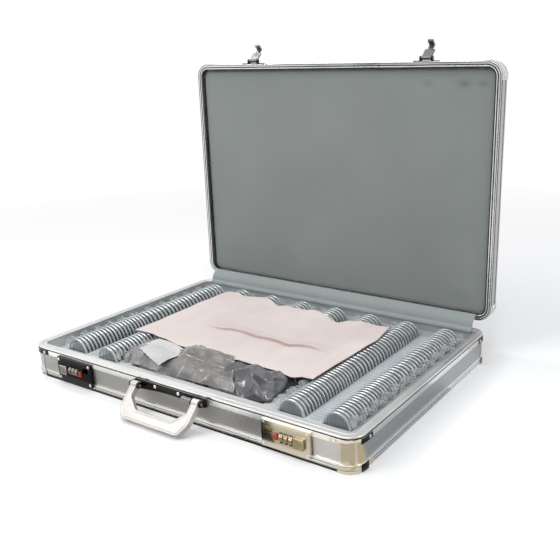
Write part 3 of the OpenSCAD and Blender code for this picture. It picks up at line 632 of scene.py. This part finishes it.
# Painted reflection: a warm champagne copy of the chrome, for the right-hand corner hardware and the right
# lock.
CHROME_WARM_REFLECTION = polished_metal("chrome_painted_warm_reflection", (0.7, 0.65, 0.55), 0.2, smear=0.98, wave=0.08, dull=1.1)
DARK_CHROME = polished_metal("dark_chrome", (0.03, 0.029, 0.028), 0.14)
LID_CHROME = polished_metal("lid_chrome", (0.62, 0.62, 0.62), 0.1)
HASP_METAL = polished_metal("hasp_metal", (0.17, 0.17, 0.167), 0.3)
STEEL = polished_metal("steel", (0.58, 0.58, 0.59), 0.25)
RIM_METAL = plated_rim()
GRIP = clear_grip()
TRAY = tray_plastic()
RACK = moulded_plastic("rack_plastic", (0.42, 0.45, 0.46), (0.5, 0.53, 0.54))
LENS_GLASS = tinted_glass()
FILM = clear_film()
POUCH = dark_plastic_bag()
PINK = pink_foam()
PAPER = white_paper("leaflet_paper", (0.5, 0.495, 0.485), (0.6, 0.595, 0.585))
LABEL = white_paper("label_paper", (0.42, 0.465, 0.485), (0.5, 0.545, 0.565))
INK = moulded_plastic("label_ink", (0.03, 0.03, 0.035), (0.06, 0.06, 0.065))
RED = glossy_plastic("red_button", (0.36, 0.024, 0.01), (0.46, 0.04, 0.015))
DIAL_METAL = polished_metal("dial_metal", (0.46, 0.44, 0.4), 0.2)
# Painted reflection: a warm gold copy of the dial metal for the right lock's dials and slide button.
DIAL_WARM_REFLECTION = polished_metal("dial_painted_warm_reflection", (0.46, 0.39, 0.26), 0.16)
PAD_CLOTH = woven_cloth("pad_cloth", (0.205, 0.226, 0.219), (0.236, 0.258, 0.249), 0.0011)
# Painted shade: the cloth turns darker in the deeper dents of the pad, through the dent attribute.
deepen(PAD_CLOTH, "dent", (0.1, 0.112, 0.11))
LINING_CLOTH = woven_cloth("lining_cloth", (0.27, 0.303, 0.3), (0.315, 0.35, 0.345), 0.0009)
PAINTED_SHADE_STRIPS = dark_inlay()
HANDLE_SATIN = satin_handle()


# Lid pad

# Place x and y, radius and depth of each dent, in mm
PAD_DENTS = [
    (211, -149, 9, 1.8),
    (238, -149, 7, 1.5),
    (157, -149, 7, 1.3),
    (215, 138, 14, -0.7),
    (-60, 40, 60, 0.4),
    (60, -30, 70, 0.35),
    (-180, -90, 50, 0.35),
]


def lid_pad():
    """Taut padded panel, drawn with the lid shut and swung open."""
    inset = 9 * MM
    half_x = CASE_W / 2 - inset
    half_y = CASE_D / 2 - inset
    corner = CORNER_R - inset
    face_z = 49 * MM
    back_z = 61 * MM
    edge = 5 * MM
    bm = bmesh.new()
    bmesh.ops.create_grid(bm, x_segments=160, y_segments=108, size=1)
    tone_shift = bm.verts.layers.float.new("dent")
    bmesh.ops.scale(bm, vec=(half_x, half_y, 1), verts=bm.verts)
    for v in bm.verts:
        x, y = v.co.x, v.co.y
        dx = max(0.0, abs(x) - half_x + corner)
        dy = max(0.0, abs(y) - half_y + corner)
        from_edge = min(half_x - abs(x), half_y - abs(y))
        if dx > 0 and dy > 0:
            reach = math.hypot(dx, dy)
            pull = max(dx, dy) / reach
            v.co.x = math.copysign(half_x - corner + dx * pull, x)
            v.co.y = math.copysign(half_y - corner + dy * pull, y)
            from_edge = corner - reach * pull
        crown = 0.8 * MM * (1 - min(1, from_edge / (90 * MM))) ** 2
        share = min(1.0, max(0.0, from_edge) / edge)
        roll = 1.2 * MM * (1 - math.sqrt(1 - (1 - share) ** 2))
        ripple = 0.22 * MM * swell(x, y, 14, 3.1) + 0.1 * MM * swell(x, y, 38, 8.7)
        v.co.z = face_z + 0.35 * MM + crown + roll + ripple * share
    for cx, cy, size, depth in PAD_DENTS:
        for v in bm.verts:
            gap = math.hypot((v.co.x - cx * MM), (v.co.y - cy * MM) * 1.8) / (size * MM)
            v.co.z += depth * MM * math.exp(-gap * gap)
            # Painted shade: the deeper dents carry a share that darkens the cloth's colour.
            v[tone_shift] = min(1, v[tone_shift] + max(0.0, depth - 0.5) * 0.5 * math.exp(-gap * gap))
    for v in made_verts(bmesh.ops.extrude_face_region(bm, geom=bm.faces[:])):
        v.co.z = back_z
    bmesh.ops.recalc_face_normals(bm, faces=bm.faces)
    bmesh.ops.transform(bm, matrix=LID_SWING, verts=bm.verts)
    pad = add_piece("padded_lid_panel", bm, PAD_CLOTH, "lid", ["lid_pad"])


# Lining between tray and lid

def hinge_lining():
    width = 492 * MM
    radius = 17.1 * MM
    foot_y = 165.9 * MM
    foot_z = 39.5 * MM
    rise_z = 43.9 * MM
    hem = rise_z - foot_z
    start = math.radians(178)
    end = math.radians(92)
    arc = radius * (start - end)
    bm = bmesh.new()
    grid_shares(bm, 140, 22)
    for v in bm.verts:
        s, t = v.co.x, v.co.y
        run = t * (hem + arc)
        x = (s - 0.5) * width
        pucker = 0.35 * MM * swell(x, run, 22, 5.5) + 0.25 * MM * swell(x, run * 0.3, 60, 2.2)
        calm = math.sin(math.pi * min(1, max(0, t)))
        if run < hem:
            v.co = Vector((x, foot_y - pucker * calm, foot_z + run))
        else:
            angle = start - (run - hem) / radius
            r = radius + pucker * calm
            v.co = Vector((x, HINGE.y + r * math.cos(angle), HINGE.z + r * math.sin(angle)))
    bmesh.ops.smooth_vert(bm, verts=bm.verts, factor=0.5, use_axis_y=True, use_axis_z=True)
    bmesh.ops.recalc_face_normals(bm, faces=bm.faces)
    lining = add_piece("hinge_lining", bm, LINING_CLOTH, None, ["gusset"])
    thickness(lining, 0.5 * MM)
    smooth_form(lining)
    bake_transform(lining)


# Packing sheet

# Points of the edges and the crease, in mm
SHEET_FRONT = [(-170, -78), (-134, -76), (-111, -78), (-77, -86), (-51, -84), (-21, -88), (11, -92),
               (30, -86), (57, -86), (100, -90), (120, -94), (133, -88), (149, -88)]
SHEET_REAR = [(-180, 107), (-168, 120), (-133, 116), (-89, 126), (-46, 100), (-38, 110), (8, 112),
              (41, 105), (72, 88), (80, 101), (101, 104), (145, 110)]
SHEET_LEFT = [(-170, -78), (-173, -35), (-176, 48), (-180, 107)]
SHEET_RIGHT = [(149, -88), (151, -16), (155, 55), (145, 110)]
SHEET_CREASE = [(-100, -19), (-84, -16), (-47, -9), (1, -13), (53, -17), (80, -10), (130, -9)]


def crease_gap(x, y):
    """Signed distance along y from the sheet's crease, in mm, and the crease's share of depth there."""
    across = x / MM
    fade = 40
    far_off = 99
    for (x0, y0), (x1, y1) in zip(SHEET_CREASE, SHEET_CREASE[1:]):
        if x0 <= across <= x1:
            mid = y0 + (y1 - y0) * (across - x0) / (x1 - x0)
            from_left = across - SHEET_CREASE[0][0]
            from_right = SHEET_CREASE[-1][0] - across
            return y / MM - mid, min(1, from_left / fade, from_right / fade)
    return far_off, 0


def packing_sheet():
    edges = [[(x * MM, y * MM, 0) for x, y in side] for side in
             (SHEET_FRONT, SHEET_REAR, SHEET_LEFT, SHEET_RIGHT)]
    over_lenses = 2.6 * MM
    half_pitch = 31 * MM
    rear_strip = 0.14
    front_strip = 0.09
    hem = 0.04
    bm = bmesh.new()
    grid_shares(bm, 200, 190)
    deep = bm.verts.layers.float.new("crease")
    for v in bm.verts:
        s, t = v.co.x, v.co.y
        place = patch_point(edges, s, t)
        x, y = place.x, place.y
        row_gap = min(abs(x - row) for row in ROWS[1:7])
        sag = 1.6 * MM * (row_gap / half_pitch) ** 2
        wave = 1.1 * MM * swell(x, y, 13, 1.7) + 0.5 * MM * swell(x, y, 34, 4.4)
        edge = min(t, 1 - t)
        lift = 2.6 * MM * max(0, 1 - (1 - t) / rear_strip) ** 2 * (0.5 + 0.5 * math.sin(x * 75))
        gap, share = crease_gap(x, y)
        trough = 2.6 * MM * share * math.exp(-abs(gap + 1.5) / 4)
        lip = 2.8 * MM * share * math.exp(-max(0, gap) / 14) / (1 + math.exp(-2.4 * gap))
        # Painted shade: a narrow dark line along the crease, widest in the middle, and a soft band behind
        # the lip, kept in the crease attribute.
        middle = math.exp(-((x / MM - 25) / 55) ** 2)
        line = 0.95 * math.exp(-((gap - 0.6 * middle) / (0.8 + 0.9 * middle)) ** 2)
        v[deep] = min(1, share * (line + 0.2 * math.exp(-((gap - 7) / 8) ** 2)))
        over_well = min(1.0, max(0.0, 0.132 - abs(x + 0.002)) / 0.02)
        hang = 1.5 * MM * over_well * max(0.0, 1 - t / front_strip) ** 1.4
        hang += 5 * MM * min(1.0, max(0.0, -0.160 - x) / 0.02) ** 1.6
        z = LENS_TOP + over_lenses - sag + wave + lift - trough + lip - hang
        if edge < hem:
            z -= 0.8 * MM * (1 - edge / hem)
        v.co = Vector((x, y, z))
    bmesh.ops.recalc_face_normals(bm, faces=bm.faces)
    area = sum(f.calc_area() for f in bm.faces)
    sheet = add_piece("pink_packing_sheet", bm, PINK, "case_base", ["packing_sheet"])
    thickness(sheet, 0.8 * MM)
    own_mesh(sheet)


# Contents of the front well

def film_height(x, y, seed):
    """Broad lobes of loose film that meet in sharp ridges, from about 0 to 1."""
    warp_x = x + 7 * MM * swell(x, y, 26, seed)
    warp_y = y + 7 * MM * swell(x, y, 26, seed + 5)
    lobes = ridges(warp_x, warp_y, 19, seed)
    return 0.9 * lobes + 0.1 * ridges(warp_y, warp_x, 40, seed + 9)


def film_fold(x, y, seed):
    """Share of a thin sharp fold of the film, which is given a painted white highlight."""
    step = 0.5 * MM
    half_width = 1.1 * MM
    level, ahead, aside = (
        noise.noise(Vector(((x + dx) * 46, (y + dy) * 24, seed)))
        for dx, dy in ((0, 0), (0, step), (step, 0))
    )
    steepness = math.hypot(ahead - level, aside - level) / step
    line = max(0.0, 1 - abs(level) / (steepness * half_width + 0.001))
    patch = min(1.0, max(0.0, 5 * noise.noise(Vector((x * 30, y * 38, seed + 3)))))
    return line * patch


def film_sheet(name, corners, height, seed, lift, rear):
    """Crumpled clear film whose rear is higher; corners run from front left round to rear left."""
    sides = [(0, 1), (3, 2), (0, 3), (1, 2)]
    edges = [[(corners[i][0] * MM, corners[i][1] * MM, 0) for i in side] for side in sides]
    bm = bmesh.new()
    grid_shares(bm, 150, 72)
    white = bm.verts.layers.float.new("fold")
    for v in bm.verts:
        s, t = v.co.x, v.co.y
        place = patch_point(edges, s, t)
        x = place.x + 5 * MM * swell(t, seed, 4, seed) * (1 - 2 * abs(s - 0.5))
        x += 4 * MM * swell(t, s, 5, seed + 1) * (2 * abs(s - 0.5)) ** 4
        y = place.y + 5 * MM * swell(s, t, 5, seed + 2) * (2 * abs(t - 0.5)) ** 4
        y += 4 * MM * swell(s, 0, 17, seed + 4) * max(0, 2 * t - 1) ** 3
        from_edge = min(s, 1 - s, t, 1 - t)
        droop = 10 * MM * max(0, 1 - t / 0.3) ** 2
        climb = min(1, max(0, (t - 0.5) / 0.3)) * min(1, max(0, (s - 0.22) / 0.2))
        level = height - droop + rear * climb * climb * (3 - 2 * climb)
        fold = film_fold(x, y, seed)
        # Painted highlight along the folds and round the edges of the sheet.
        v[white] = max(fold, 0.4 * (1 - min(1, 25 * from_edge)))
        bulge = lift * (0.25 + 0.75 * min(1, 7 * from_edge)) * film_height(x, y, seed)
        v.co = Vector((x, y, level + bulge + 0.8 * MM * fold))
    bmesh.ops.recalc_face_normals(bm, faces=bm.faces)
    area = sum(f.calc_area() for f in bm.faces)
    piece = add_piece(name, bm, FILM, "case_base")
    thickness(piece, 0.06 * MM)
    smooth_form(piece)
    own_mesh(piece)


def soft_bundle(name, node, mat, seed, power, top, crinkle, slope, rear, side, wall=0.0):
    """Slack bag that fills its part of the well and rises at its rear; with a wall it is hollow."""
    low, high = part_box(node)
    centre = (low + high) / 2
    half = (high - low) / 2
    bm = bmesh.new()
    bmesh.ops.create_cube(bm, size=2)
    bmesh.ops.subdivide_edges(bm, edges=bm.edges[:], cuts=40, use_grid_fill=True)
    white = bm.verts.layers.float.new("fold")
    for v in bm.verts:
        p = v.co / sum(abs(c) ** power for c in v.co) ** (1 / power)
        x = centre.x + p.x * half.x * 0.985
        y = centre.y + p.y * half.y * 0.985
        z = centre.z + p.z * half.z * 0.97
        upper = max(0.0, p.z)
        x += side * upper * max(0.0, p.x) ** 2
        y += 4 * MM * upper * max(0.0, p.y) ** 2
        z += upper * top * (film_height(x, y, seed) - 0.85)
        z += upper * crinkle * (ridges(x, y, 30, seed + 3) - 0.7)
        z -= upper * slope * max(0.0, -p.y) ** 3
        z += upper * rear * max(0.0, p.y) ** 2
        # Painted highlight along the folds on the top of the bag.
        v[white] = 0.6 * upper * film_fold(x, y, seed)
        v.co = Vector((x, y, z))
    bmesh.ops.recalc_face_normals(bm, faces=bm.faces)
    bag = add_piece(name, bm, mat, "case_base", [node])
    if wall:
        thickness(bag, wall)
    smooth_form(bag)
    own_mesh(bag)


def leaflet():
    """White folded paper lying over the film."""
    bm = bmesh.new()
    grid_shares(bm, 36, 24)
    turn = Matrix.Rotation(math.radians(-12), 3, "Z")
    width = 72
    length = 46
    for v in bm.verts:
        s, t = v.co.x, v.co.y
        x = (s - 0.5) * width * MM
        y = (t - 0.5) * length * MM
        y += 13 * MM * (1 - s) ** 2 * (1 - t)
        arch = 2.2 * MM * math.sin(math.pi * s) + 1.5 * MM * t
        droop = 3 * MM * max(0, 1 - 3 * t) * s
        pleat = 0.7 * MM * math.sin(44 * s + 5 * t) * max(0.0, 1 - t / 0.75) * min(1, 3 * s)
        ply = 0.9 * MM * math.exp(-((t - 0.55 - 0.2 * s) / 0.07) ** 2)
        z = 45.2 * MM + arch - droop + pleat - ply + 0.7 * MM * swell(x, y, 40, 6.1)
        v.co = turn @ Vector((x, y, 0)) + Vector((-87 * MM, -111 * MM, z))
    bmesh.ops.recalc_face_normals(bm, faces=bm.faces)
    paper = add_piece("folded_leaflet", bm, PAPER, "case_base", ["leaflet"])
    thickness(paper, 0.25 * MM)
    smooth_form(paper)
    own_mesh(paper)


# Painted shade in the grooves and gaps of the frames

def case_plan(bm, inset):
    """Rounded face with the case's outline, set in from the outside."""
    bmesh.ops.create_grid(bm, x_segments=1, y_segments=1, size=0.5)
    bmesh.ops.scale(bm, vec=(CASE_W - 2 * inset, CASE_D - 2 * inset, 1), verts=bm.verts)
    round_off(bm, bm.verts[:], CORNER_R - inset, 12, "VERTICES")


def dark_line(name, bm, body, offset=0):
    """Thin dark strip of painted shade from an open face, drawn with the lid shut."""
    bmesh.ops.recalc_face_normals(bm, faces=bm.faces)
    if body == "lid":
        bmesh.ops.transform(bm, matrix=LID_SWING, verts=bm.verts)
    line = add_piece(name, bm, PAINTED_SHADE_STRIPS, body, (), False)
    thickness(line, 0.15 * MM, offset)


def upright_line(name, z, height, body):
    """Dark line of painted shade in a groove on the outside of a frame."""
    bm = bmesh.new()
    case_plan(bm, -0.04 * MM)
    bmesh.ops.translate(bm, vec=(0, 0, z - height / 2), verts=bm.verts)
    rim = bm.edges[:]
    bmesh.ops.delete(bm, geom=bm.faces[:], context="FACES_ONLY")
    raised = made_verts(bmesh.ops.extrude_edge_only(bm, edges=rim))
    bmesh.ops.translate(bm, vec=(0, 0, height), verts=raised)
    dark_line(name, bm, body, -1)


def flat_line(name, inset, width, z, open_rear=False):
    """Dark line of painted shade that runs around the flat face of the lid's frame, or around three sides of
    it.
    """
    bm = bmesh.new()
    case_plan(bm, inset)
    bmesh.ops.inset_region(bm, faces=bm.faces[:], thickness=width, use_boundary=True, use_even_offset=True)
    middle = max(bm.faces, key=lambda f: f.calc_area())
    bmesh.ops.delete(bm, geom=[middle], context="FACES")
    if open_rear:
        rear = max(bm.faces, key=lambda f: f.calc_center_median().y)
        bmesh.ops.delete(bm, geom=[rear], context="FACES")
    bmesh.ops.translate(bm, vec=(0, 0, z), verts=bm.verts)
    dark_line(name, bm, "lid")


def frame_lines():
    upright_line("rim_groove_line", 40.45 * MM, 1.2 * MM, "case_base")
    upright_line("lower_frame_line", 3.0 * MM, 0.5 * MM, "case_base")
    upright_line("upper_frame_line", 6.5 * MM, 0.5 * MM, "case_base")
    upright_line("lid_edge_line", 47.0 * MM, 2.2 * MM, "lid")
    upright_line("lid_back_line", 60.3 * MM, 1.8 * MM, "lid")
    flat_line("lid_face_line", 3.8 * MM, 1.4 * MM, 43.76 * MM)
    flat_line("lid_outer_line", 0.7 * MM, 0.9 * MM, 43.76 * MM)
    # Painted shade: a dark strip set in the gap between the lid frame and the pad.
    flat_line("pad_gap_shade", 6.9 * MM, 1.4 * MM, 44.1 * MM, open_rear=True)


# Handle

PIVOT = Vector((0, -186 * MM, 35 * MM))
HANDLE_DROOP = math.radians(46.57)


def carrying_handle():
    """Handle drawn flat with its arms along +Y, then hung from its pins."""
    out = 56 * MM
    inner = 46 * MM
    length = 44 * MM
    grip = 29 * MM
    knee = 27.5 * MM
    foot = 46.1 * MM
    inner_knee = 15.5 * MM
    inner_foot = 29.8 * MM
    deep = 8 * MM
    half = [(out, 0), (out, knee), (foot, length)]
    window = [(inner_foot, grip), (inner, inner_knee), (inner, 0)]
    outline = [(-x, y) for x, y in half] + half[::-1] + window[::-1] + [(-x, y) for x, y in window]
    bm = bmesh.new()
    bm.faces.new([bm.verts.new((x, y, -deep / 2)) for x, y in outline])
    for radius, bends in ((4.5 * MM, half[1:]), (3 * MM, window[:2])):
        turned = [v for v in bm.verts
                  if min(math.hypot(abs(v.co.x) - x, v.co.y - y) for x, y in bends) < 0.1 * MM]
        round_off(bm, turned, radius, 5, "VERTICES")
    top = made_verts(bmesh.ops.extrude_face_region(bm, geom=bm.faces[:]))
    bmesh.ops.translate(bm, vec=(0, 0, deep), verts=top)
    bmesh.ops.recalc_face_normals(bm, faces=bm.faces)
    broad = [f for f in bm.faces if abs(f.normal.z) > 0.9]
    for step, sink in ((2.3, 0), (0.7, -0.5), (0.7, 0.5)):
        bmesh.ops.inset_region(bm, faces=broad, thickness=step * MM, depth=sink * MM, use_even_offset=True)
    sharp = [e for e in bm.edges if len(e.link_faces) == 2 and e.calc_face_angle() > 0.7]
    sharp = [e for e in sharp if max(abs(f.normal.z) for f in e.link_faces) < 0.1
             or min(abs(f.normal.z) for f in e.link_faces) < 0.1]
    round_off(bm, sharp, 1.5 * MM, 3)
    eye_r = 5 * MM
    for s in (-1, 1):
        eye = bmesh.ops.create_cone(bm, cap_ends=True, segments=32, radius1=eye_r, radius2=eye_r,
                                    depth=out - inner)
        rims = [e for e in {e for v in eye["verts"] for e in v.link_edges} if e.calc_face_angle() > 1]
        bmesh.ops.rotate(bm, matrix=Matrix.Rotation(math.pi / 2, 3, "Y"), verts=eye["verts"])
        bmesh.ops.translate(bm, vec=(s * (out + inner) / 2, 0, 0), verts=eye["verts"])
        round_off(bm, rims, 0.8 * MM, 2)
    swing = Matrix.Translation(PIVOT) @ Matrix.Rotation(math.pi + HANDLE_DROOP, 4, "X")
    bmesh.ops.transform(bm, matrix=swing, verts=bm.verts)
    add_piece("carrying_handle_grip", bm, HANDLE_SATIN, "carrying_handle", ["handle"], False)


def bracket_rivets():
    """Two domed rivets on the handle's bracket."""
    bm = bmesh.new()
    for x in (-23 * MM, 16 * MM):
        dome = bmesh.ops.create_uvsphere(bm, u_segments=24, v_segments=12, radius=2.4 * MM)
        bmesh.ops.scale(bm, vec=(1, 0.45, 1), verts=dome["verts"])
        bmesh.ops.translate(bm, vec=(x, -180.5 * MM, 36 * MM), verts=dome["verts"])
    add_piece("bracket_rivets", bm, CHROME, "case_base")


def bracket_spring():
    """Coil beside the right ear, which lifts the handle."""
    turns = 6
    steps = 24
    start = Vector((26 * MM, -184 * MM, 34.5 * MM))
    length = 16 * MM
    coil_r = 2.7 * MM
    wire_r = 0.6 * MM
    bm = bmesh.new()
    bmesh.ops.create_circle(bm, segments=8, radius=wire_r)
    bmesh.ops.translate(bm, vec=start + Vector((0, coil_r, 0)), verts=bm.verts)
    bmesh.ops.spin(bm, geom=bm.verts[:] + bm.edges[:], cent=start, axis=(1, 0, 0), angle=2 * math.pi * turns,
                   steps=turns * steps, dvec=(length / (turns * steps), 0, 0))
    bmesh.ops.holes_fill(bm, edges=[e for e in bm.edges if e.is_boundary])
    bmesh.ops.recalc_face_normals(bm, faces=bm.faces)
    add_piece("bracket_spring", bm, STEEL, "case_base")


# Numbers

# Distance of each dial from the middle of the case, in mm
DIALS = {"inner": 170.5, "middle": 177, "outer": 183.5}
LABEL_X = 186
LONG_ROW = 42
WEAK_LENSES = 20


def text_mesh(words, size):
    """Plain lettering as a flat bmesh, centred on the origin."""
    curve = bpy.data.curves.new("numbers", "FONT")
    curve.body = words
    curve.size = size
    curve.align_x = "CENTER"
    curve.align_y = "CENTER"
    curve.resolution_u = 2
    holder = bpy.data.objects.new("numbers", curve)
    scene.collection.objects.link(holder)
    mesh = bpy.data.meshes.new_from_object(holder.evaluated_get(bpy.context.evaluated_depsgraph_get()))
    bm = bmesh.new()
    bm.from_mesh(mesh)
    bpy.data.objects.remove(holder)
    bpy.data.curves.remove(curve)
    bpy.data.meshes.remove(mesh)
    return bm


def join_into(target, part, matrix):
    bmesh.ops.transform(part, matrix=matrix, verts=part.verts)
    holder = bpy.data.meshes.new("part")
    part.to_mesh(holder)
    part.free()
    target.from_mesh(holder)
    bpy.data.meshes.remove(holder)


def dial_numbers(side, place, x):
    """Digits 0 to 9 on the ten faces of one dial."""
    bm = bmesh.new()
    dial_r = 6.2 * MM
    face = dial_r * math.cos(math.radians(18)) + 0.03 * MM
    centre = Matrix.Translation((x, -178 * MM, 21.5 * MM))
    for digit in range(10):
        part = text_mesh(str(digit), 3.4 * MM)
        turn = Matrix.Rotation(math.radians(36 * digit), 4, "X")
        stand = Matrix.Translation((0, -face, 0)) @ Matrix.Rotation(math.pi / 2, 4, "X")
        join_into(bm, part, centre @ turn @ stand)
    add_piece(f"{side}_dial_{place}_numbers", bm, INK, f"{side}_dial_{place}_body", (), False)


def long_row_y(i):
    """Place of a lens in a long row, where the strong lenses stand further apart."""
    last_weak = WEAK_LENSES - 1
    return (-141 + 6.15 * min(i, last_weak) + 7.75 * max(0, i - last_weak)) * MM


def label_numbers(side, x):
    """Lens powers printed beside each slot of the two rows next to the strip."""
    bm = bmesh.new()
    strip_middle = (long_row_y(0) + long_row_y(LONG_ROW - 1)) / 2
    for i in range(LONG_ROW):
        power = 0.25 * (i + 1) if i < WEAK_LENSES else 5 + 0.5 * (i + 1 - WEAK_LENSES)
        for column in (-1, 1):
            part = text_mesh(f"{power:.2f}", 2.9 * MM)
            y = strip_middle + 0.985 * (long_row_y(i) - strip_middle)
            place = Matrix.Translation((x + column * 3.3 * MM, y, 29.43 * MM))
            join_into(bm, part, place)
    add_piece(f"{side}_label_numbers", bm, INK, "case_base", (), False)


# Finishes of the solid pieces

LEFT_DIALS = [f"left_dial_{place}" for place in DIALS]
RIGHT_DIALS = [f"right_dial_{place}" for place in DIALS]
CORNER_FITTINGS = ["base_upper_corner_fittings", "base_lower_corner_fittings"]
RIM_ROWS = ["outer_left_rims", "inner_left_rims", "centre_1_rims", "centre_2_rims", "centre_3_rims",
            "centre_4_rims", "inner_right_rims", "outer_right_rims"]

SOLID_FINISHES = {
    FRAME_METAL: ["base_lower_frame", "base_rim_frame", "lid_frame"],
    FRONT_PANEL_METAL: ["base_front_panel"],
    PANEL_METAL: ["base_bottom_panel", "base_rear_panel", "base_left_panel", "base_right_panel",
                  "lid_skin_panel"],
    # Painted reflection: the right corner hardware and the right lock take the warm copy of the chrome.
    CHROME_WARM_REFLECTION: ["base_corner_plates", *CORNER_FITTINGS, "right_lock_body"],
    CHROME: ["base_corner_rivets", "lock_rivets"],
    LID_CHROME: ["lid_fittings", "left_slide_button"],
    HASP_METAL: ["left_hasp", "right_hasp"],
    # Painted reflection: the left lock body takes this dark finish, while the right lock, which is alike,
    # takes the warm copy of the chrome.
    DARK_CHROME: ["handle_bracket", "left_lock_body", "hasp_plates"],
    STEEL: ["handle_pins", "dial_shafts", "hinge_base_leaves", "hinge_pins", "hinge_lid_leaves"],
    DIAL_METAL: LEFT_DIALS,
    # Painted reflection: the right lock's dials and slide are warm, those of the alike left lock are not.
    DIAL_WARM_REFLECTION: [*RIGHT_DIALS, "right_slide_button"],
    RED: ["left_push_button", "right_push_button"],
    TRAY: ["lens_tray"],
    RACK: ["outer_left_rack", "inner_left_rack", "inner_right_rack", "outer_right_rack", "centre_racks"],
    RIM_METAL: RIM_ROWS,
    LENS_GLASS: ["lens_glass"],
    LABEL: ["label_strips"],
}

# Width in mm of the softened edges
EDGE_WIDTHS = {
    0.5: ["base_rim_frame", "lid_frame"],
    0.2: ["base_lower_frame"],
    0.35: [*CORNER_FITTINGS, "lid_fittings", "hasp_plates", "left_hasp", "right_hasp", "handle_bracket"],
    0.6: ["left_lock_body", "right_lock_body", "left_push_button", "right_push_button"],
    1.3: ["left_slide_button", "right_slide_button"],
    0.25: [*LEFT_DIALS, *RIGHT_DIALS, "lock_rivets", "base_corner_rivets"],
}


def on_rim_top(face):
    """Whether a face of the rim is on its top or its inside."""
    from_side = min(CASE_W / 2 - abs(face.center.x), CASE_D / 2 - abs(face.center.y))
    return face.normal.z > 0.9 or from_side > 3 * MM


def on_lid_edge(face):
    """Whether a face of the lid frame is on its outside or on the outer strip of its rim."""
    shut = LID_SWING.inverted() @ face.center
    from_side = min(CASE_W / 2 - abs(shut.x), CASE_D / 2 - abs(shut.y))
    return from_side < 1.2 * MM


def second_finish(name, mat, chosen):
    """Another finish on some faces of a solid."""
    mesh = nodes[name].data
    mesh.materials.append(mat)
    for face in mesh.polygons:
        if chosen(face):
            face.material_index = len(mesh.materials) - 1


def on_grip(face, row):
    """Whether a face of a lens in a row is outside its round rim."""
    return math.hypot(face.center.x - row, face.center.z - LENS_Z) > LENS_R


def dress_solids():
    for mat, names in SOLID_FINISHES.items():
        for name in names:
            mesh = nodes[name].data
            mesh.materials.clear()
            mesh.materials.append(mat)
    for width, names in EDGE_WIDTHS.items():
        for name in names:
            soften_edges(nodes[name], width * MM)
    # Painted shade on the top and inside faces of the base rim.
    second_finish("base_rim_frame", RIM_TOP_SHADED_METAL, on_rim_top)
    # Painted shadow: the lowest front faces of the lower frame turn dark along the foot of the base.
    second_finish("base_lower_frame", PAINTED_SHADE_STRIPS,
                  lambda face: face.center.z < 2.4 * MM and face.normal.y < -0.5)
    # Painted shade on the outside and the outer strip of the lid frame.
    second_finish("lid_frame", LID_EDGE_SHADED_METAL, on_lid_edge)
    # Painted reflection: the left halves of the corner hardware keep plain chrome, the right halves keep the
    # warm copy.
    for name in ("base_corner_plates", *CORNER_FITTINGS):
        second_finish(name, CHROME, lambda face: face.center.x < 0)
    second_finish("base_upper_corner_fittings", DARK_CHROME,
                  lambda face: face.normal.x > 0.9 or face.center.x < 0 and face.normal.y < -0.9)
    second_finish("base_lower_corner_fittings", DARK_CHROME, lambda face: face.normal.x > 0.9)
    for row, name in zip(ROWS, RIM_ROWS):
        second_finish(name, GRIP, lambda face: on_grip(face, row))


place_camera()
light_world()
lay_floor()
set_lamps()
set_cards()
dress_solids()
lid_pad()
hinge_lining()
packing_sheet()
soft_bundle("dark_pouch_bag", "dark_pouch", POUCH, seed=11.0, power=9, top=0.009,
            crinkle=0.006, slope=0.009, rear=0.008, side=0.011)
soft_bundle("film_bundle", "film_bag", FILM, seed=23.0, power=5, top=0.012,
            crinkle=0, slope=0.011, rear=0, side=0, wall=0.08 * MM)
leaflet()
film_sheet("film_over_well", [(-107, -138), (66, -139), (22, -83), (-100, -74)], height=0.0405, seed=31.0,
           lift=0.007, rear=0.0085)
film_sheet("film_by_row", [(-130, -136), (-96, -138), (-92, -80), (-128, -80)], height=0.0415, seed=37.0,
           lift=0.0055, rear=0)
frame_lines()
carrying_handle()
bracket_rivets()
bracket_spring()
for side, sign in (("left", -1), ("right", 1)):
    for place, offset in DIALS.items():
        dial_numbers(side, place, sign * offset * MM)
    label_numbers(side, sign * LABEL_X * MM)
